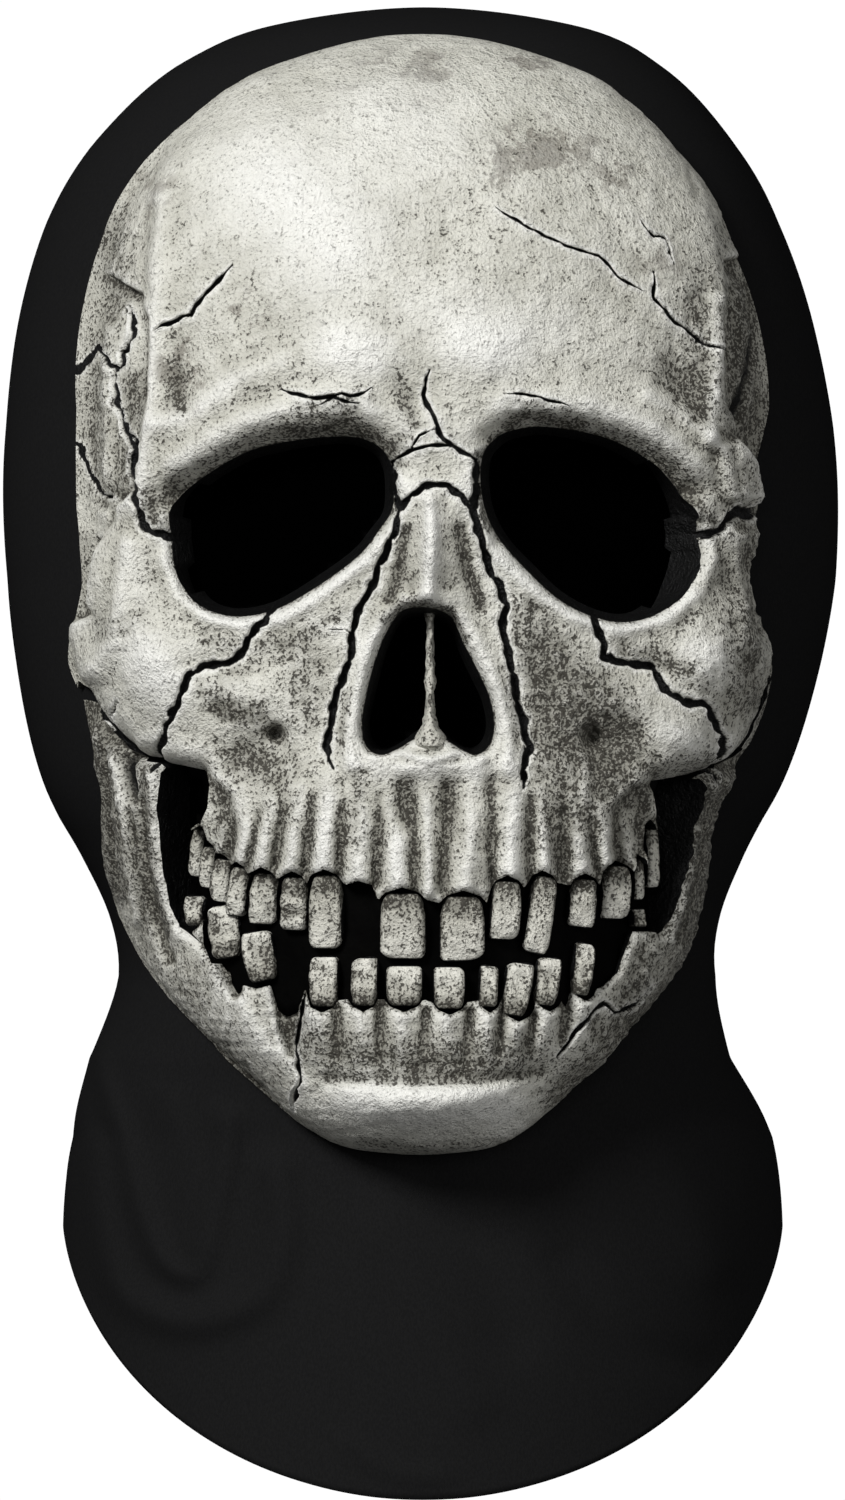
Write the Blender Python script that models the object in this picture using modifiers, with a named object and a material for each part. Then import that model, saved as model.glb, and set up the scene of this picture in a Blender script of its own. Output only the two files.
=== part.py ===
"""Skull mask: a moulded skull face on a black stretch-cloth hood with a rounded neck bib.

The face looks along -Y and +Z is up. The origin is the inside of the hood's crown, where the
wearer's head carries it. Tables and sizes are in millimetres, and MM brings them to metres.
"""

import math
from collections import namedtuple

import bmesh
import bpy
import numpy as np

MM = 0.001

# Walls and clearances.
CLOTH = 2.0
SHELL = 4.0
RIM = 2.8
CLOTH_GAP = 1.0
SEAT = 0.4
SEAM = 1.2

# The face is turned a little to its left, so its middle lies beside the hood's.
FACE_MIDDLE = 2.5

# The bib's hem: its height over the shoulders, its drops in front and behind, its rounding.
HEM_SIDE = -293.0
HEM_FRONT_DROP = 64.4
HEM_BACK_DROP = 30.0
HEM_ROUNDING = 0.12
BIB_TOP = -250.0

# Grid sizes of the solids.
HOOD_COLUMNS = 32
HOOD_HEAD_ROWS = 21
HOOD_BIB_ROWS = 7
FACE_COLUMNS = 28
FACE_ROW_PITCH = 7.6
JAW_COLUMNS = 28
JAW_ROW_PITCH = 6.6

# Rows of the hood lie closer together at the narrow neck.
NECK_HEIGHT = -234.0
NECK_REACH = 24.0
NECK_CROWDING = 1.5
BIB_CROWDING = 1.35

# The hood from the crown down: half width, and depth in front of and behind the middle.
HoodRow = namedtuple("HoodRow", "height half_width front back")
HOOD_ROWS = [
    HoodRow(1.5, 0, 0, 0),
    HoodRow(-3, 37, 35, 41),
    HoodRow(-12, 57.5, 55, 65),
    HoodRow(-26, 73, 69, 83),
    HoodRow(-45, 86, 80, 96),
    HoodRow(-72, 95.5, 88, 105),
    HoodRow(-105, 100.5, 92, 109),
    HoodRow(-135, 100.3, 92, 107),
    HoodRow(-162, 96.3, 91, 100),
    HoodRow(-185, 89.8, 88, 89),
    HoodRow(-204, 79.9, 85, 77),
    HoodRow(-219, 73.6, 82, 69),
    HoodRow(-233, 72.2, 79, 65),
    HoodRow(-250, 76.5, 76, 66),
    HoodRow(-268, 83.6, 75.2, 71),
    HoodRow(-288, 86.8, 77, 77),
    HoodRow(-320, 87, 82, 82),
    HoodRow(-360, 87, 87, 85),
]

# The bone's outline and how far its middle line stands in front of the cloth.
BoneRow = namedtuple("BoneRow", "height half_width stand_off")
BONE_ROWS = [
    BoneRow(-6, 0, 0),
    BoneRow(-13, 31, 5),
    BoneRow(-24, 49, 9),
    BoneRow(-42, 65, 12),
    BoneRow(-66, 76.2, 14),
    BoneRow(-90, 80.2, 15),
    BoneRow(-112, 79.2, 15),
    BoneRow(-130, 78.2, 12),
    BoneRow(-146, 79.6, 11),
    BoneRow(-157, 81.8, 12),
    BoneRow(-168, 79.2, 14),
    BoneRow(-185, 72.8, 18),
    BoneRow(-204, 70.2, 21),
    BoneRow(-219, 66, 24),
    BoneRow(-233, 59.2, 27),
    BoneRow(-250, 44.5, 29),
    BoneRow(-262, 31.5, 26),
    BoneRow(-269.5, 21.5, 19),
    BoneRow(-273.5, 12, 10),
    BoneRow(-275, 0, 0),
]
FACE_TOP = -6.0
FACE_BOTTOM = -219.0
JAW_TOP = -170.0
JAW_BOTTOM = -275.0

# Raised and sunk places of the face, mirrored about its middle.
Bump = namedtuple("Bump", "across height half_width half_height rise")
FACE_BUMPS = [
    Bump(30, -62, 27, 25, 2.0),
    Bump(0, -101, 17, 9, 3.5),
    Bump(0, -114, 9, 4, -3.0),
    Bump(0, -124, 8, 10, 5.0),
    Bump(0, -138, 10, 11, 11.0),
    Bump(64, -161, 14, 14, 8.0),
    Bump(48, -167, 12, 9, 3.0),
    Bump(36, -174, 10, 9, -5.0),
    Bump(0, -186, 15, 7, 3.0),
]
JAW_BUMPS = [
    Bump(0, -263, 24, 8, 4.5),
    Bump(17, -266, 9, 6, 2.5),
    Bump(0, -251, 28, 5, -2.5),
    Bump(49, -232, 12, 8, 2.5),
    Bump(70, -190, 9, 22, -4.0),
]

# Ridges and hollows that follow a line on the face.
Ridge = namedtuple("Ridge", "half_width rise path")
FACE_RIDGES = [
    Ridge(8, 3.5, [(8, -98), (22, -94.5), (40, -97), (55, -105)]),
    Ridge(5, 4.0, [(60, -108), (67, -122), (69, -136), (66, -150)]),
    Ridge(3.5, 2.5, [(60, -46), (67, -62), (68.5, -80), (67, -100)]),
    Ridge(8, -7.0, [(77, -62), (78, -90), (78, -120), (76, -140)]),
    Ridge(6, 5.0, [(9, -120), (15, -140), (20, -158), (20, -178)]),
]

# Half outlines of what is cut through the bone, right of the face's middle.
EYE_SOCKET = [
    (9.5, -109), (15, -104), (27, -102.5), (43, -105), (55, -112), (64, -122.5), (64.5, -131.5),
    (60, -141), (51, -146.3), (38.5, -145.8), (26.5, -139.7), (16.8, -130), (11.5, -119),
]
NOSE_HALF = [
    (0, -143), (6, -145.5), (11, -154), (14.2, -164), (15.7, -173), (13.2, -179), (7, -178.3), (0, -175),
]
CHEEK_EDGE = [
    (100, -150), (86, -160), (79, -172), (72.5, -179), (65, -182.5), (54.5, -184.5), (53.5, -192),
]
UPPER_GUM = [
    (58, -197.5), (52, -202), (45, -206), (34, -208.5), (24, -208), (14, -211.5), (6, -213.5),
    (0, -214.5),
]
LOWER_GUM = [
    (64.5, -190), (62.5, -207), (60.5, -214), (57.5, -222), (52, -229.5), (42, -235), (30, -238.5),
    (14, -240), (0, -240.5),
]

# The black arch behind the teeth, which follows the bone's plain form at one height.
ARCH_HEIGHT = -222.0
BAND_REACH = 54.0
BAND_ABOVE_GUM = 2.0
BAND_BELOW_GUM = 2.0
BAND_FRONT = -4.5
BAND_WALL = 2.0
BAND_COLUMNS = 20

# Teeth as seen from in front: middle, top and bottom, width, and lean in degrees.
Tooth = namedtuple("Tooth", "across top bottom width lean")
UPPER_TEETH = [
    Tooth(-54.3, -198, -207.5, 2.6, 6),
    Tooth(-51.2, -201.5, -210.5, 3.0, 6),
    Tooth(-48.0, -204, -213, 3.8, 6),
    Tooth(-44.0, -206.5, -215.5, 4.2, 4),
    Tooth(-38.4, -207.5, -219.5, 6.6, 4),
    Tooth(-31.4, -208.5, -220.5, 6.4, 0),
    Tooth(-23.9, -208, -225.5, 7.2, 0),
    Tooth(-5.0, -212, -228, 10.6, 0),
    Tooth(9.9, -212.5, -228.5, 10.2, 0),
    Tooth(20.4, -209.5, -223.5, 7.0, 4),
    Tooth(28.7, -208.5, -226.0, 6.6, 8),
    Tooth(39.5, -209, -220.5, 6.6, 4),
    Tooth(47.2, -205.5, -218.5, 6.8, -2),
    Tooth(51.4, -203, -214, 2.2, -4),
    Tooth(54.3, -198, -210, 3.0, -4),
]
LOWER_TEETH = [
    Tooth(-52.6, -212, -220, 3.0, 0),
    Tooth(-48.4, -217.2, -227, 6.0, -4),
    Tooth(-39.6, -221.8, -233, 6.6, -6),
    Tooth(-24.0, -227.5, -239.5, 7.2, 0),
    Tooth(-14.7, -227.5, -239.5, 5.2, -2),
    Tooth(-4.5, -229.5, -239.5, 8.2, 0),
    Tooth(6.4, -229.8, -240.5, 7.4, 2),
    Tooth(15.9, -229.5, -240, 4.4, 3),
    Tooth(23.0, -228.2, -241.5, 6.0, 7),
    Tooth(30.4, -227.5, -239.5, 5.6, 3),
    Tooth(39.2, -224, -237, 5.0, 8),
    Tooth(53.6, -216.5, -224.5, 3.8, 0),
]
TOOTH_FRONT = 3.4
TOOTH_BACK_SHARE = 0.72
TOOTH_EDGE = 1.1

# The thin plate between the two halves of the nose opening.
SEPTUM_TOP = -146.5
SEPTUM_BOTTOM = -172.5
SEPTUM_WIDTH = 2.4
SEPTUM_FRONT = -101.0

# Soft folds of the bib, in front.
CLOTH_FOLDS = [
    Ridge(5, 2.6, [
        (-84, -272), (-79, -294), (-69, -308), (-57, -314.5), (-43, -312), (-31, -300), (-27, -284),
    ]),
    Ridge(4, 2.2, [(-82, -262), (-74, -288), (-64, -301), (-55, -303), (-50, -286), (-46, -268)]),
    Ridge(8, 1.8, [(52, -258), (66, -284), (74, -302)]),
    Ridge(9, -2.0, [(3, -284), (13, -302), (21, -318)]),
]

BONE = ("bone", (0.80, 0.78, 0.70, 1.0), 0.55)
TOOTH = ("tooth", (0.76, 0.73, 0.63, 1.0), 0.45)
BLACK_CLOTH = ("black_cloth", (0.012, 0.012, 0.013, 1.0), 0.8)
BLACK_RUBBER = ("black_rubber", (0.008, 0.008, 0.008, 1.0), 0.5)


def smooth_table(rows, steps=24):
    """A table made fine by a curve through its rows. The first row is a pole that both sides share."""
    table = np.array(rows, float)
    before = table[1] * np.where(np.arange(table.shape[1]) == 0, 1, -1)
    ends = np.vstack([before, table, 2 * table[-1] - table[-2]])
    t = np.linspace(0, 1, steps, endpoint=False)[:, None]
    spans = []
    for a, b, c, d in zip(ends[:-3], ends[1:-2], ends[2:-1], ends[3:]):
        cubic = (3 * (b - c) + d - a) * t**3
        square = (2 * a - 5 * b + 4 * c - d) * t**2
        spans.append(0.5 * (2 * b + (c - a) * t + square + cubic))
    fine = np.vstack(spans + [table[-1:]])
    return fine[np.argsort(fine[:, 0])]


HOOD = smooth_table(HOOD_ROWS)
BONE_TABLE = smooth_table(BONE_ROWS)


def at_height(table, height):
    """The columns of a fine table at these heights."""
    return [np.maximum(np.interp(height, table[:, 0], column), 0) for column in table[:, 1:].T]


def hood_outside(x, y, height):
    """Below 0 inside the hood's outer face, above 0 in front of it."""
    half_width, front, back = at_height(HOOD, height)
    depth = np.where(y < 0, front, back)
    return (x / half_width) ** 2 + (y / depth) ** 2 - 1


def smoothstep(low, high, value):
    t = np.clip((value - low) / (high - low), 0, 1)
    return t * t * (3 - 2 * t)


def line_distance(x, z, path):
    """Distance from each point to a line of straight runs."""
    nearest = np.full(np.shape(x), 1e9)
    for (ax, az), (bx, bz) in zip(path[:-1], path[1:]):
        dx, dz = bx - ax, bz - az
        t = np.clip(((x - ax) * dx + (z - az) * dz) / (dx * dx + dz * dz), 0, 1)
        nearest = np.minimum(nearest, np.hypot(x - ax - t * dx, z - az - t * dz))
    return nearest


def relief(x, z, bumps, ridges):
    """How far the bone rises above its plain form at these places of the front view."""
    across = np.abs(x - FACE_MIDDLE)
    rise = np.zeros(np.shape(x))
    for bump in bumps:
        far = ((across - bump.across) / bump.half_width) ** 2 + ((z - bump.height) / bump.half_height) ** 2
        rise += bump.rise * np.exp(-far)
    for ridge in ridges:
        rise += ridge.rise * np.exp(-((line_distance(across, z, ridge.path) / ridge.half_width) ** 2))
    return rise


def bone_base(turn, height):
    """The plain form: x and y at an angle from the face's middle, 90 degrees at the rim."""
    half_width, stand_off = at_height(BONE_TABLE, height)
    hood_width, hood_front, _ = at_height(HOOD, height)
    rim = -hood_front * np.sqrt(np.maximum(1 - (half_width / hood_width) ** 2, 0))
    depth = hood_front + stand_off + rim
    return half_width * np.sin(turn), rim - depth * np.cos(turn)


def bone_point(turn, height, rise):
    """A point at this rise above the plain form: straight forward in the middle, outward at the rim."""
    x, y = bone_base(turn, height)
    swing = turn * smoothstep(math.radians(30), math.radians(80), np.abs(turn))
    return x + rise * np.sin(swing), y - rise * np.cos(swing)


def cloth_rise(turn, height):
    """The rise at which a point of the bone would touch the cloth, found by halving."""
    low, high = np.full(np.shape(turn), -60.0), np.full(np.shape(turn), 12.0)
    for _ in range(24):
        middle = (low + high) / 2
        x, y = bone_point(turn, height, middle)
        inside = hood_outside(x, y, height) < 0
        low, high = np.where(inside, middle, low), np.where(inside, high, middle)
    return high


def arch_point(across, out):
    """A point of the dental arch, moved outwards square to the arch, and the arch's angle there."""
    half_width, _ = at_height(BONE_TABLE, ARCH_HEIGHT)
    turn = np.arcsin(across / half_width)
    x, y = bone_base(turn, ARCH_HEIGHT)
    ahead_x, ahead_y = bone_base(turn + 0.01, ARCH_HEIGHT)
    angle = np.arctan2(ahead_y - y, ahead_x - x)
    return x + out * np.sin(angle), y - out * np.cos(angle), angle


def material(finish):
    name, colour, roughness = finish
    made = bpy.data.materials.get(name)
    if made is None:
        made = bpy.data.materials.new(name)
        made.use_nodes = True
        shader = made.node_tree.nodes["Principled BSDF"]
        shader.inputs["Base Color"].default_value = colour
        shader.inputs["Roughness"].default_value = roughness
        shader.inputs["Metallic"].default_value = 0.0
    return made


def add_object(name, mesh, collection, finish=None):
    made = bpy.data.objects.new(name, mesh)
    collection.objects.link(made)
    if finish:
        mesh.materials.append(material(finish))
    return made


def grid_of(points):
    """A bmesh grid whose rows and columns are those of an array of points, doubles joined."""
    rows, columns, _ = points.shape
    grid = bmesh.new()
    bmesh.ops.create_grid(grid, x_segments=columns - 1, y_segments=rows - 1, size=1)
    grid.verts.ensure_lookup_table()
    for vertex, place in zip(grid.verts, points.reshape(-1, 3)):
        vertex.co = place * MM
    return grid


def mesh_of(grid, name):
    bmesh.ops.remove_doubles(grid, verts=grid.verts, dist=0.02 * MM)
    bmesh.ops.recalc_face_normals(grid, faces=grid.faces)
    mesh = bpy.data.meshes.new(name)
    grid.to_mesh(mesh)
    grid.free()
    return mesh


def two_layers(name, front, back):
    """A closed wall between two grids of points with the same rows and columns."""
    grid = grid_of(front)
    back_of = dict(zip(grid.verts, back.reshape(-1, 3)))
    faces = list(grid.faces)
    made = bmesh.ops.extrude_face_region(grid, geom=faces, use_keep_orig=True)
    copies = [part for part in made["geom"] if isinstance(part, bmesh.types.BMVert)]
    places = {tuple(vertex.co): place for vertex, place in back_of.items()}
    for vertex in copies:
        vertex.co = places[tuple(vertex.co)] * MM
    return mesh_of(grid, name)


def build_hood(parts):
    """The cloth hood: rows down the head, then rows that spread out to the hem."""
    turns = np.linspace(-math.pi, math.pi, HOOD_COLUMNS + 1)
    profile = HOOD[HOOD[:, 0] >= BIB_TOP][::-1]
    crowding = 1 + NECK_CROWDING * np.exp(-(((profile[1:, 0] - NECK_HEIGHT) / NECK_REACH) ** 2))
    lengths = np.concatenate([[0], np.cumsum(crowding * np.hypot(*np.diff(profile[:, :2], axis=0).T))])
    heights = np.interp(np.linspace(0, lengths[-1], HOOD_HEAD_ROWS + 1), lengths, profile[:, 0])
    round_cos = np.sqrt(np.cos(turns) ** 2 + HEM_ROUNDING**2) - HEM_ROUNDING
    share = round_cos / (math.hypot(1, HEM_ROUNDING) - HEM_ROUNDING)
    hem = HEM_SIDE - share * np.where(np.cos(turns) > 0, HEM_FRONT_DROP, HEM_BACK_DROP)
    down = np.linspace(0, 1, HOOD_BIB_ROWS + 1)[1:, None] ** BIB_CROWDING
    z = np.vstack([np.repeat(heights[:, None], len(turns), 1), BIB_TOP + down * (hem - BIB_TOP)])
    half_width, front, back = at_height(HOOD, z)
    depth = np.where(np.cos(turns) > 0, front, back)
    x, y = half_width * np.sin(turns), -depth * np.cos(turns)
    folds = sum(f.rise * np.exp(-((line_distance(x, z, f.path) / f.half_width) ** 2)) for f in CLOTH_FOLDS)
    folds = np.where(y < 0, folds, 0) * smoothstep(0, 25, -y)
    y = y - folds
    mesh = mesh_of(grid_of(np.stack([x, y, z], -1)), "hood")
    hood = add_object("hood", mesh, parts, BLACK_CLOTH)
    wall = hood.modifiers.new("Wall", "SOLIDIFY")
    wall.thickness = CLOTH * MM
    wall.offset = -1
    mesh.shade_smooth()
    return hood


def bone_shell(name, top, bottom, columns, row_pitch, bumps, ridges, parts):
    """A moulded shell over a stretch of the bone's height, hollow behind, its rim on the cloth."""
    rows = BONE_TABLE[(BONE_TABLE[:, 0] <= top) & (BONE_TABLE[:, 0] >= bottom)][::-1]
    lengths = np.concatenate([[0], np.cumsum(np.hypot(*np.diff(rows[:, :2], axis=0).T))])
    count = max(int(lengths[-1] / row_pitch), 8)
    heights = np.interp(np.linspace(0, lengths[-1], count + 1), lengths, rows[:, 0])
    turn, height = np.meshgrid(np.linspace(-math.pi / 2, math.pi / 2, columns + 1), heights)
    x, _ = bone_base(turn, height)
    floor = cloth_rise(turn, height)
    outer = np.maximum(RIM + relief(x, height, bumps, ridges), floor + RIM)
    inner = np.maximum(outer - SHELL, floor + CLOTH_GAP)
    layers = [np.stack([*bone_point(turn, height, rise), height], -1) for rise in (outer, inner)]
    return add_object(name, two_layers(name, *layers), parts, BONE)


def smooth_loop(points, steps=3):
    """A closed curve through the points."""
    loop = np.array(points, float)
    t = np.linspace(0, 1, steps, endpoint=False)[:, None]
    spans = []
    for i in range(len(loop)):
        a, b, c, d = (loop[(i + k) % len(loop)] for k in (-1, 0, 1, 2))
        cubic = (3 * (b - c) + d - a) * t**3
        square = (2 * a - 5 * b + 4 * c - d) * t**2
        spans.append(0.5 * (2 * b + (c - a) * t + square + cubic))
    return np.vstack(spans)


def mirrored(half):
    """A line from the right rim to the middle, continued to the left rim."""
    left = [(-across, height) for across, height in reversed(half) if across > 0]
    return list(half) + left


def prism(name, outline, cutters):
    """A cutter that goes through the face from front to back with this outline in the front view."""
    curve = bpy.data.curves.new(name, "CURVE")
    curve.dimensions = "2D"
    curve.fill_mode = "BOTH"
    curve.extrude = 100 * MM
    spline = curve.splines.new("POLY")
    spline.points.add(len(outline) - 1)
    spline.use_cyclic_u = True
    for point, (across, height) in zip(spline.points, outline):
        point.co = ((across + FACE_MIDDLE) * MM, height * MM, 0, 1)
    guide = bpy.data.objects.new(name, curve)
    cutters.objects.link(guide)
    guide.rotation_euler = (math.pi / 2, 0, 0)
    guide.location = (0, -90 * MM, 0)
    bpy.context.view_layer.update()
    solid = bpy.data.meshes.new_from_object(guide.evaluated_get(bpy.context.evaluated_depsgraph_get()))
    place = guide.matrix_world.copy()
    bpy.data.objects.remove(guide)
    grid = bmesh.new()
    grid.from_mesh(solid)
    bmesh.ops.transform(grid, matrix=place, verts=grid.verts)
    bmesh.ops.remove_doubles(grid, verts=grid.verts, dist=0.01 * MM)
    bmesh.ops.recalc_face_normals(grid, faces=grid.faces)
    grid.to_mesh(solid)
    grid.free()
    made = add_object(name, solid, cutters)
    made.hide_render = True
    made.display_type = "WIRE"
    return made


def cut(target, cutter):
    boolean = target.modifiers.new(cutter.name, "BOOLEAN")
    boolean.operation = "DIFFERENCE"
    boolean.object = cutter


def build_face(parts, cutters):
    """The forehead, brow, cheekbones and upper jaw, with the sockets and nose cut through."""
    face = bone_shell(
        "skull_face", FACE_TOP, FACE_BOTTOM, FACE_COLUMNS, FACE_ROW_PITCH, FACE_BUMPS, FACE_RIDGES, parts
    )
    socket = smooth_loop(EYE_SOCKET)
    cut(face, prism("socket_left_cutter", [(-x, z) for x, z in socket], cutters))
    cut(face, prism("socket_right_cutter", socket, cutters))
    cut(face, prism("nose_cutter", smooth_loop(mirrored(NOSE_HALF)[1:], 2), cutters))
    edge = mirrored(CHEEK_EDGE + UPPER_GUM)
    below = edge + [(-120, -150), (-120, -330), (120, -330), (120, -150)]
    cut(face, prism("face_edge_cutter", below, cutters))
    return face


def build_jaw(parts, cutters):
    """The lower jaw with its rami, which run up under the cheekbones."""
    jaw = bone_shell("lower_jaw", JAW_TOP, JAW_BOTTOM, JAW_COLUMNS, JAW_ROW_PITCH, JAW_BUMPS, [], parts)
    under_cheek = [(x, z - SEAM) for x, z in CHEEK_EDGE[:-2]]
    edge = mirrored(under_cheek + LOWER_GUM)
    above = edge + [(-120, -152), (-120, -60), (120, -60), (120, -152)]
    cut(jaw, prism("jaw_edge_cutter", above, cutters))
    return jaw


def gum_line(gum, across):
    """The height of a gum's edge at this distance from the middle."""
    line = np.array(gum[::-1])
    return np.interp(np.abs(across), line[:, 0], line[:, 1])


def build_gum_band(parts):
    """The black arch that carries the teeth and shows between them."""
    line = np.linspace(-BAND_REACH, BAND_REACH, BAND_COLUMNS + 1)
    across = np.stack([line, line])
    beside = line - FACE_MIDDLE
    top = gum_line(UPPER_GUM, beside) + BAND_ABOVE_GUM
    bottom = gum_line(LOWER_GUM, beside) - BAND_BELOW_GUM
    height = np.stack([top, bottom])
    layers = []
    for out in (BAND_FRONT, BAND_FRONT - BAND_WALL):
        x, y, _ = arch_point(across, out)
        layers.append(np.stack([x, y, height], -1))
    return add_object("gum_band", two_layers("gum_band", *layers), parts, BLACK_RUBBER)


def clear_of_gum(tooth, middle, half_span):
    """The tooth's top and bottom, with its root end kept clear of the bone's edge."""
    sides = np.array([middle - half_span, middle + half_span]) - FACE_MIDDLE
    slack = SEAT + math.sin(math.radians(abs(tooth.lean))) * tooth.width / 2
    top = min(tooth.top, gum_line(UPPER_GUM, sides).min() - slack)
    bottom = max(tooth.bottom, gum_line(LOWER_GUM, sides).max() + slack)
    return top, bottom


def build_tooth(name, tooth, parts):
    """One tooth: a block that narrows to its back, with rounded edges."""
    x, y, angle = arch_point(tooth.across, (TOOTH_FRONT + BAND_FRONT + SEAT) / 2)
    depth = TOOTH_FRONT - BAND_FRONT - SEAT
    width = tooth.width / max(math.cos(angle), 0.7)
    half_span = (width * math.cos(angle) + depth * abs(math.sin(angle))) / 2
    top, bottom = clear_of_gum(tooth, x, half_span)
    middle = (top + bottom) / 2
    tall = top - bottom
    block = bmesh.new()
    bmesh.ops.create_cube(block, size=1)
    for vertex in block.verts:
        back = vertex.co.y > 0
        vertex.co.x *= width * (TOOTH_BACK_SHARE if back else 1)
        vertex.co.y *= depth
        vertex.co.z *= tall
    mesh = bpy.data.meshes.new(name)
    bmesh.ops.scale(block, vec=(MM, MM, MM), verts=block.verts)
    block.to_mesh(mesh)
    block.free()
    made = add_object(name, mesh, parts, TOOTH)
    made.location = (float(x) * MM, float(y) * MM, middle * MM)
    made.rotation_euler = (0, math.radians(tooth.lean), float(angle))
    edge = made.modifiers.new("Edge", "BEVEL")
    edge.width = min(TOOTH_EDGE, width * 0.3) * MM
    return made


def build_septum(parts):
    """The thin plate that stands on the cloth in the nose opening."""
    cloth_front = at_height(HOOD, SEPTUM_TOP)[1]
    depth = -SEPTUM_FRONT - cloth_front - SEAT
    block = bmesh.new()
    bmesh.ops.create_cube(block, size=1)
    for vertex in block.verts:
        vertex.co.x *= SEPTUM_WIDTH * MM
        vertex.co.y *= depth * MM
        vertex.co.z *= (SEPTUM_TOP - SEPTUM_BOTTOM) * MM
    mesh = bpy.data.meshes.new("nasal_septum")
    block.to_mesh(mesh)
    block.free()
    made = add_object("nasal_septum", mesh, parts, BONE)
    made.location = (
        FACE_MIDDLE * MM,
        (SEPTUM_FRONT + depth / 2) * MM,
        (SEPTUM_TOP + SEPTUM_BOTTOM) / 2 * MM,
    )
    edge = made.modifiers.new("Edge", "BEVEL")
    edge.width = 0.8 * MM
    return made


def main():
    for old in list(bpy.data.objects):
        bpy.data.objects.remove(old)
    parts = bpy.data.collections.new("skull_mask")
    cutters = bpy.data.collections.new("cutters")
    for collection in (parts, cutters):
        bpy.context.scene.collection.children.link(collection)
    build_hood(parts)
    build_face(parts, cutters)
    build_jaw(parts, cutters)
    build_gum_band(parts)
    build_septum(parts)
    for prefix, teeth in (("upper_tooth", UPPER_TEETH), ("lower_tooth", LOWER_TEETH)):
        for number, tooth in enumerate(teeth, 1):
            build_tooth(f"{prefix}_{number:02d}", tooth, parts)


main()
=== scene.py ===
"""Skull mask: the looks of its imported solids, with a camera, studio light, a floor and a backdrop.

Forms are in millimetres, and MM brings them to metres. Places on the face are given as they
are seen from in front, in steps of PX to the right and down, as read off the photograph.
"""

import math
from collections import namedtuple

import bmesh
import bpy
import numpy as np
from mathutils import Matrix, Vector
from mathutils.geometry import delaunay_2d_cdt

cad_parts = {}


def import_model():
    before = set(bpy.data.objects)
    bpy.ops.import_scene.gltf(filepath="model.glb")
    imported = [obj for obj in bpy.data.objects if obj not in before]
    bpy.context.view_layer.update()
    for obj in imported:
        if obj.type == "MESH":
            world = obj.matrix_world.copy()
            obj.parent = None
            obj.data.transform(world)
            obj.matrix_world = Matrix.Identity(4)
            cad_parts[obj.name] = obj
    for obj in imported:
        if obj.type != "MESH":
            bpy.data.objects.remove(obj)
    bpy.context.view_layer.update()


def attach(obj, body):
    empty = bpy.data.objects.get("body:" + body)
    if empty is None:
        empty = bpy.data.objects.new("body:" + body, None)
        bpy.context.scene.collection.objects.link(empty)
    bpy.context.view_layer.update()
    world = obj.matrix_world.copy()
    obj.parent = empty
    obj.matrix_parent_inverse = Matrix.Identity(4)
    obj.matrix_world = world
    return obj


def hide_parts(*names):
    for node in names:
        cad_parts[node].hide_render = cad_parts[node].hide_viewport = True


MM = 0.001

# One step of a front-view place is this many millimetres. The middle and the top are these steps.
PX = 0.24
MIDDLE_PX = 422.0
TOP_PX = 8.0

# The frame that the photograph covers, in steps, and the long lens that sees it, in millimetres.
FRAME_WIDE = 845
FRAME_TALL = 1500
LENS = 800.0
SENSOR = 36.0
CAMERA_FAR = 100.0

# How far in front of the hood's axis the frame fits exactly, in metres.
FRAME_DEPTH = 0.06

# The bone's rise over its plain form before its forms are added, and the rise at which it is laid out.
BONE_RISE = 2.8
SEEN_RISE = 2.4

# The bone's least height over the cloth, as a share of its rise, and how softly it stops there.
LEAST_SHARE = 0.7
SOFT_FLOOR = 0.9

# How far the bone's walls stay off the cloth, how deep they are at the outer rim, and at the holes.
OVER_CLOTH = 0.5
RIM_WALL = 8.0
HOLE_WALL = 60.0

# A hole's wall: the share of its depth, and how far it is drawn in under the hole.
WALL_ROWS = ((0.0, 0.0), (0.3, 1.0), (1.0, 2.2))

# The thickness of the cloth.
CLOTH_WALL = 1.4

# The bib: its top, its hem at the sides, how much lower it lies in front and behind, and its rounding.
BIB_TOP = -250.0
HEM_SIDE = -293.0
HEM_FRONT_DROP = 64.4
HEM_BACK_DROP = 30.0
HEM_ROUNDING = 0.12

HoodRow = namedtuple("HoodRow", "height half_width front back")
HOOD_ROWS = [
    HoodRow(1.5, 0, 0, 0),
    HoodRow(-3, 37, 35, 41),
    HoodRow(-12, 57.5, 55, 65),
    HoodRow(-26, 73, 69, 83),
    HoodRow(-45, 86, 80, 96),
    HoodRow(-72, 95.5, 88, 105),
    HoodRow(-105, 100.5, 92, 109),
    HoodRow(-135, 100.3, 92, 107),
    HoodRow(-162, 96.3, 91, 100),
    HoodRow(-185, 89.8, 88, 89),
    HoodRow(-204, 79.9, 85, 77),
    HoodRow(-219, 73.6, 82, 69),
    HoodRow(-233, 72.2, 79, 65),
    HoodRow(-250, 76.5, 76, 66),
    HoodRow(-268, 83.6, 75.2, 71),
    HoodRow(-288, 86.8, 77, 77),
    HoodRow(-320, 87, 82, 82),
    HoodRow(-360, 87, 87, 85),
]

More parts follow.
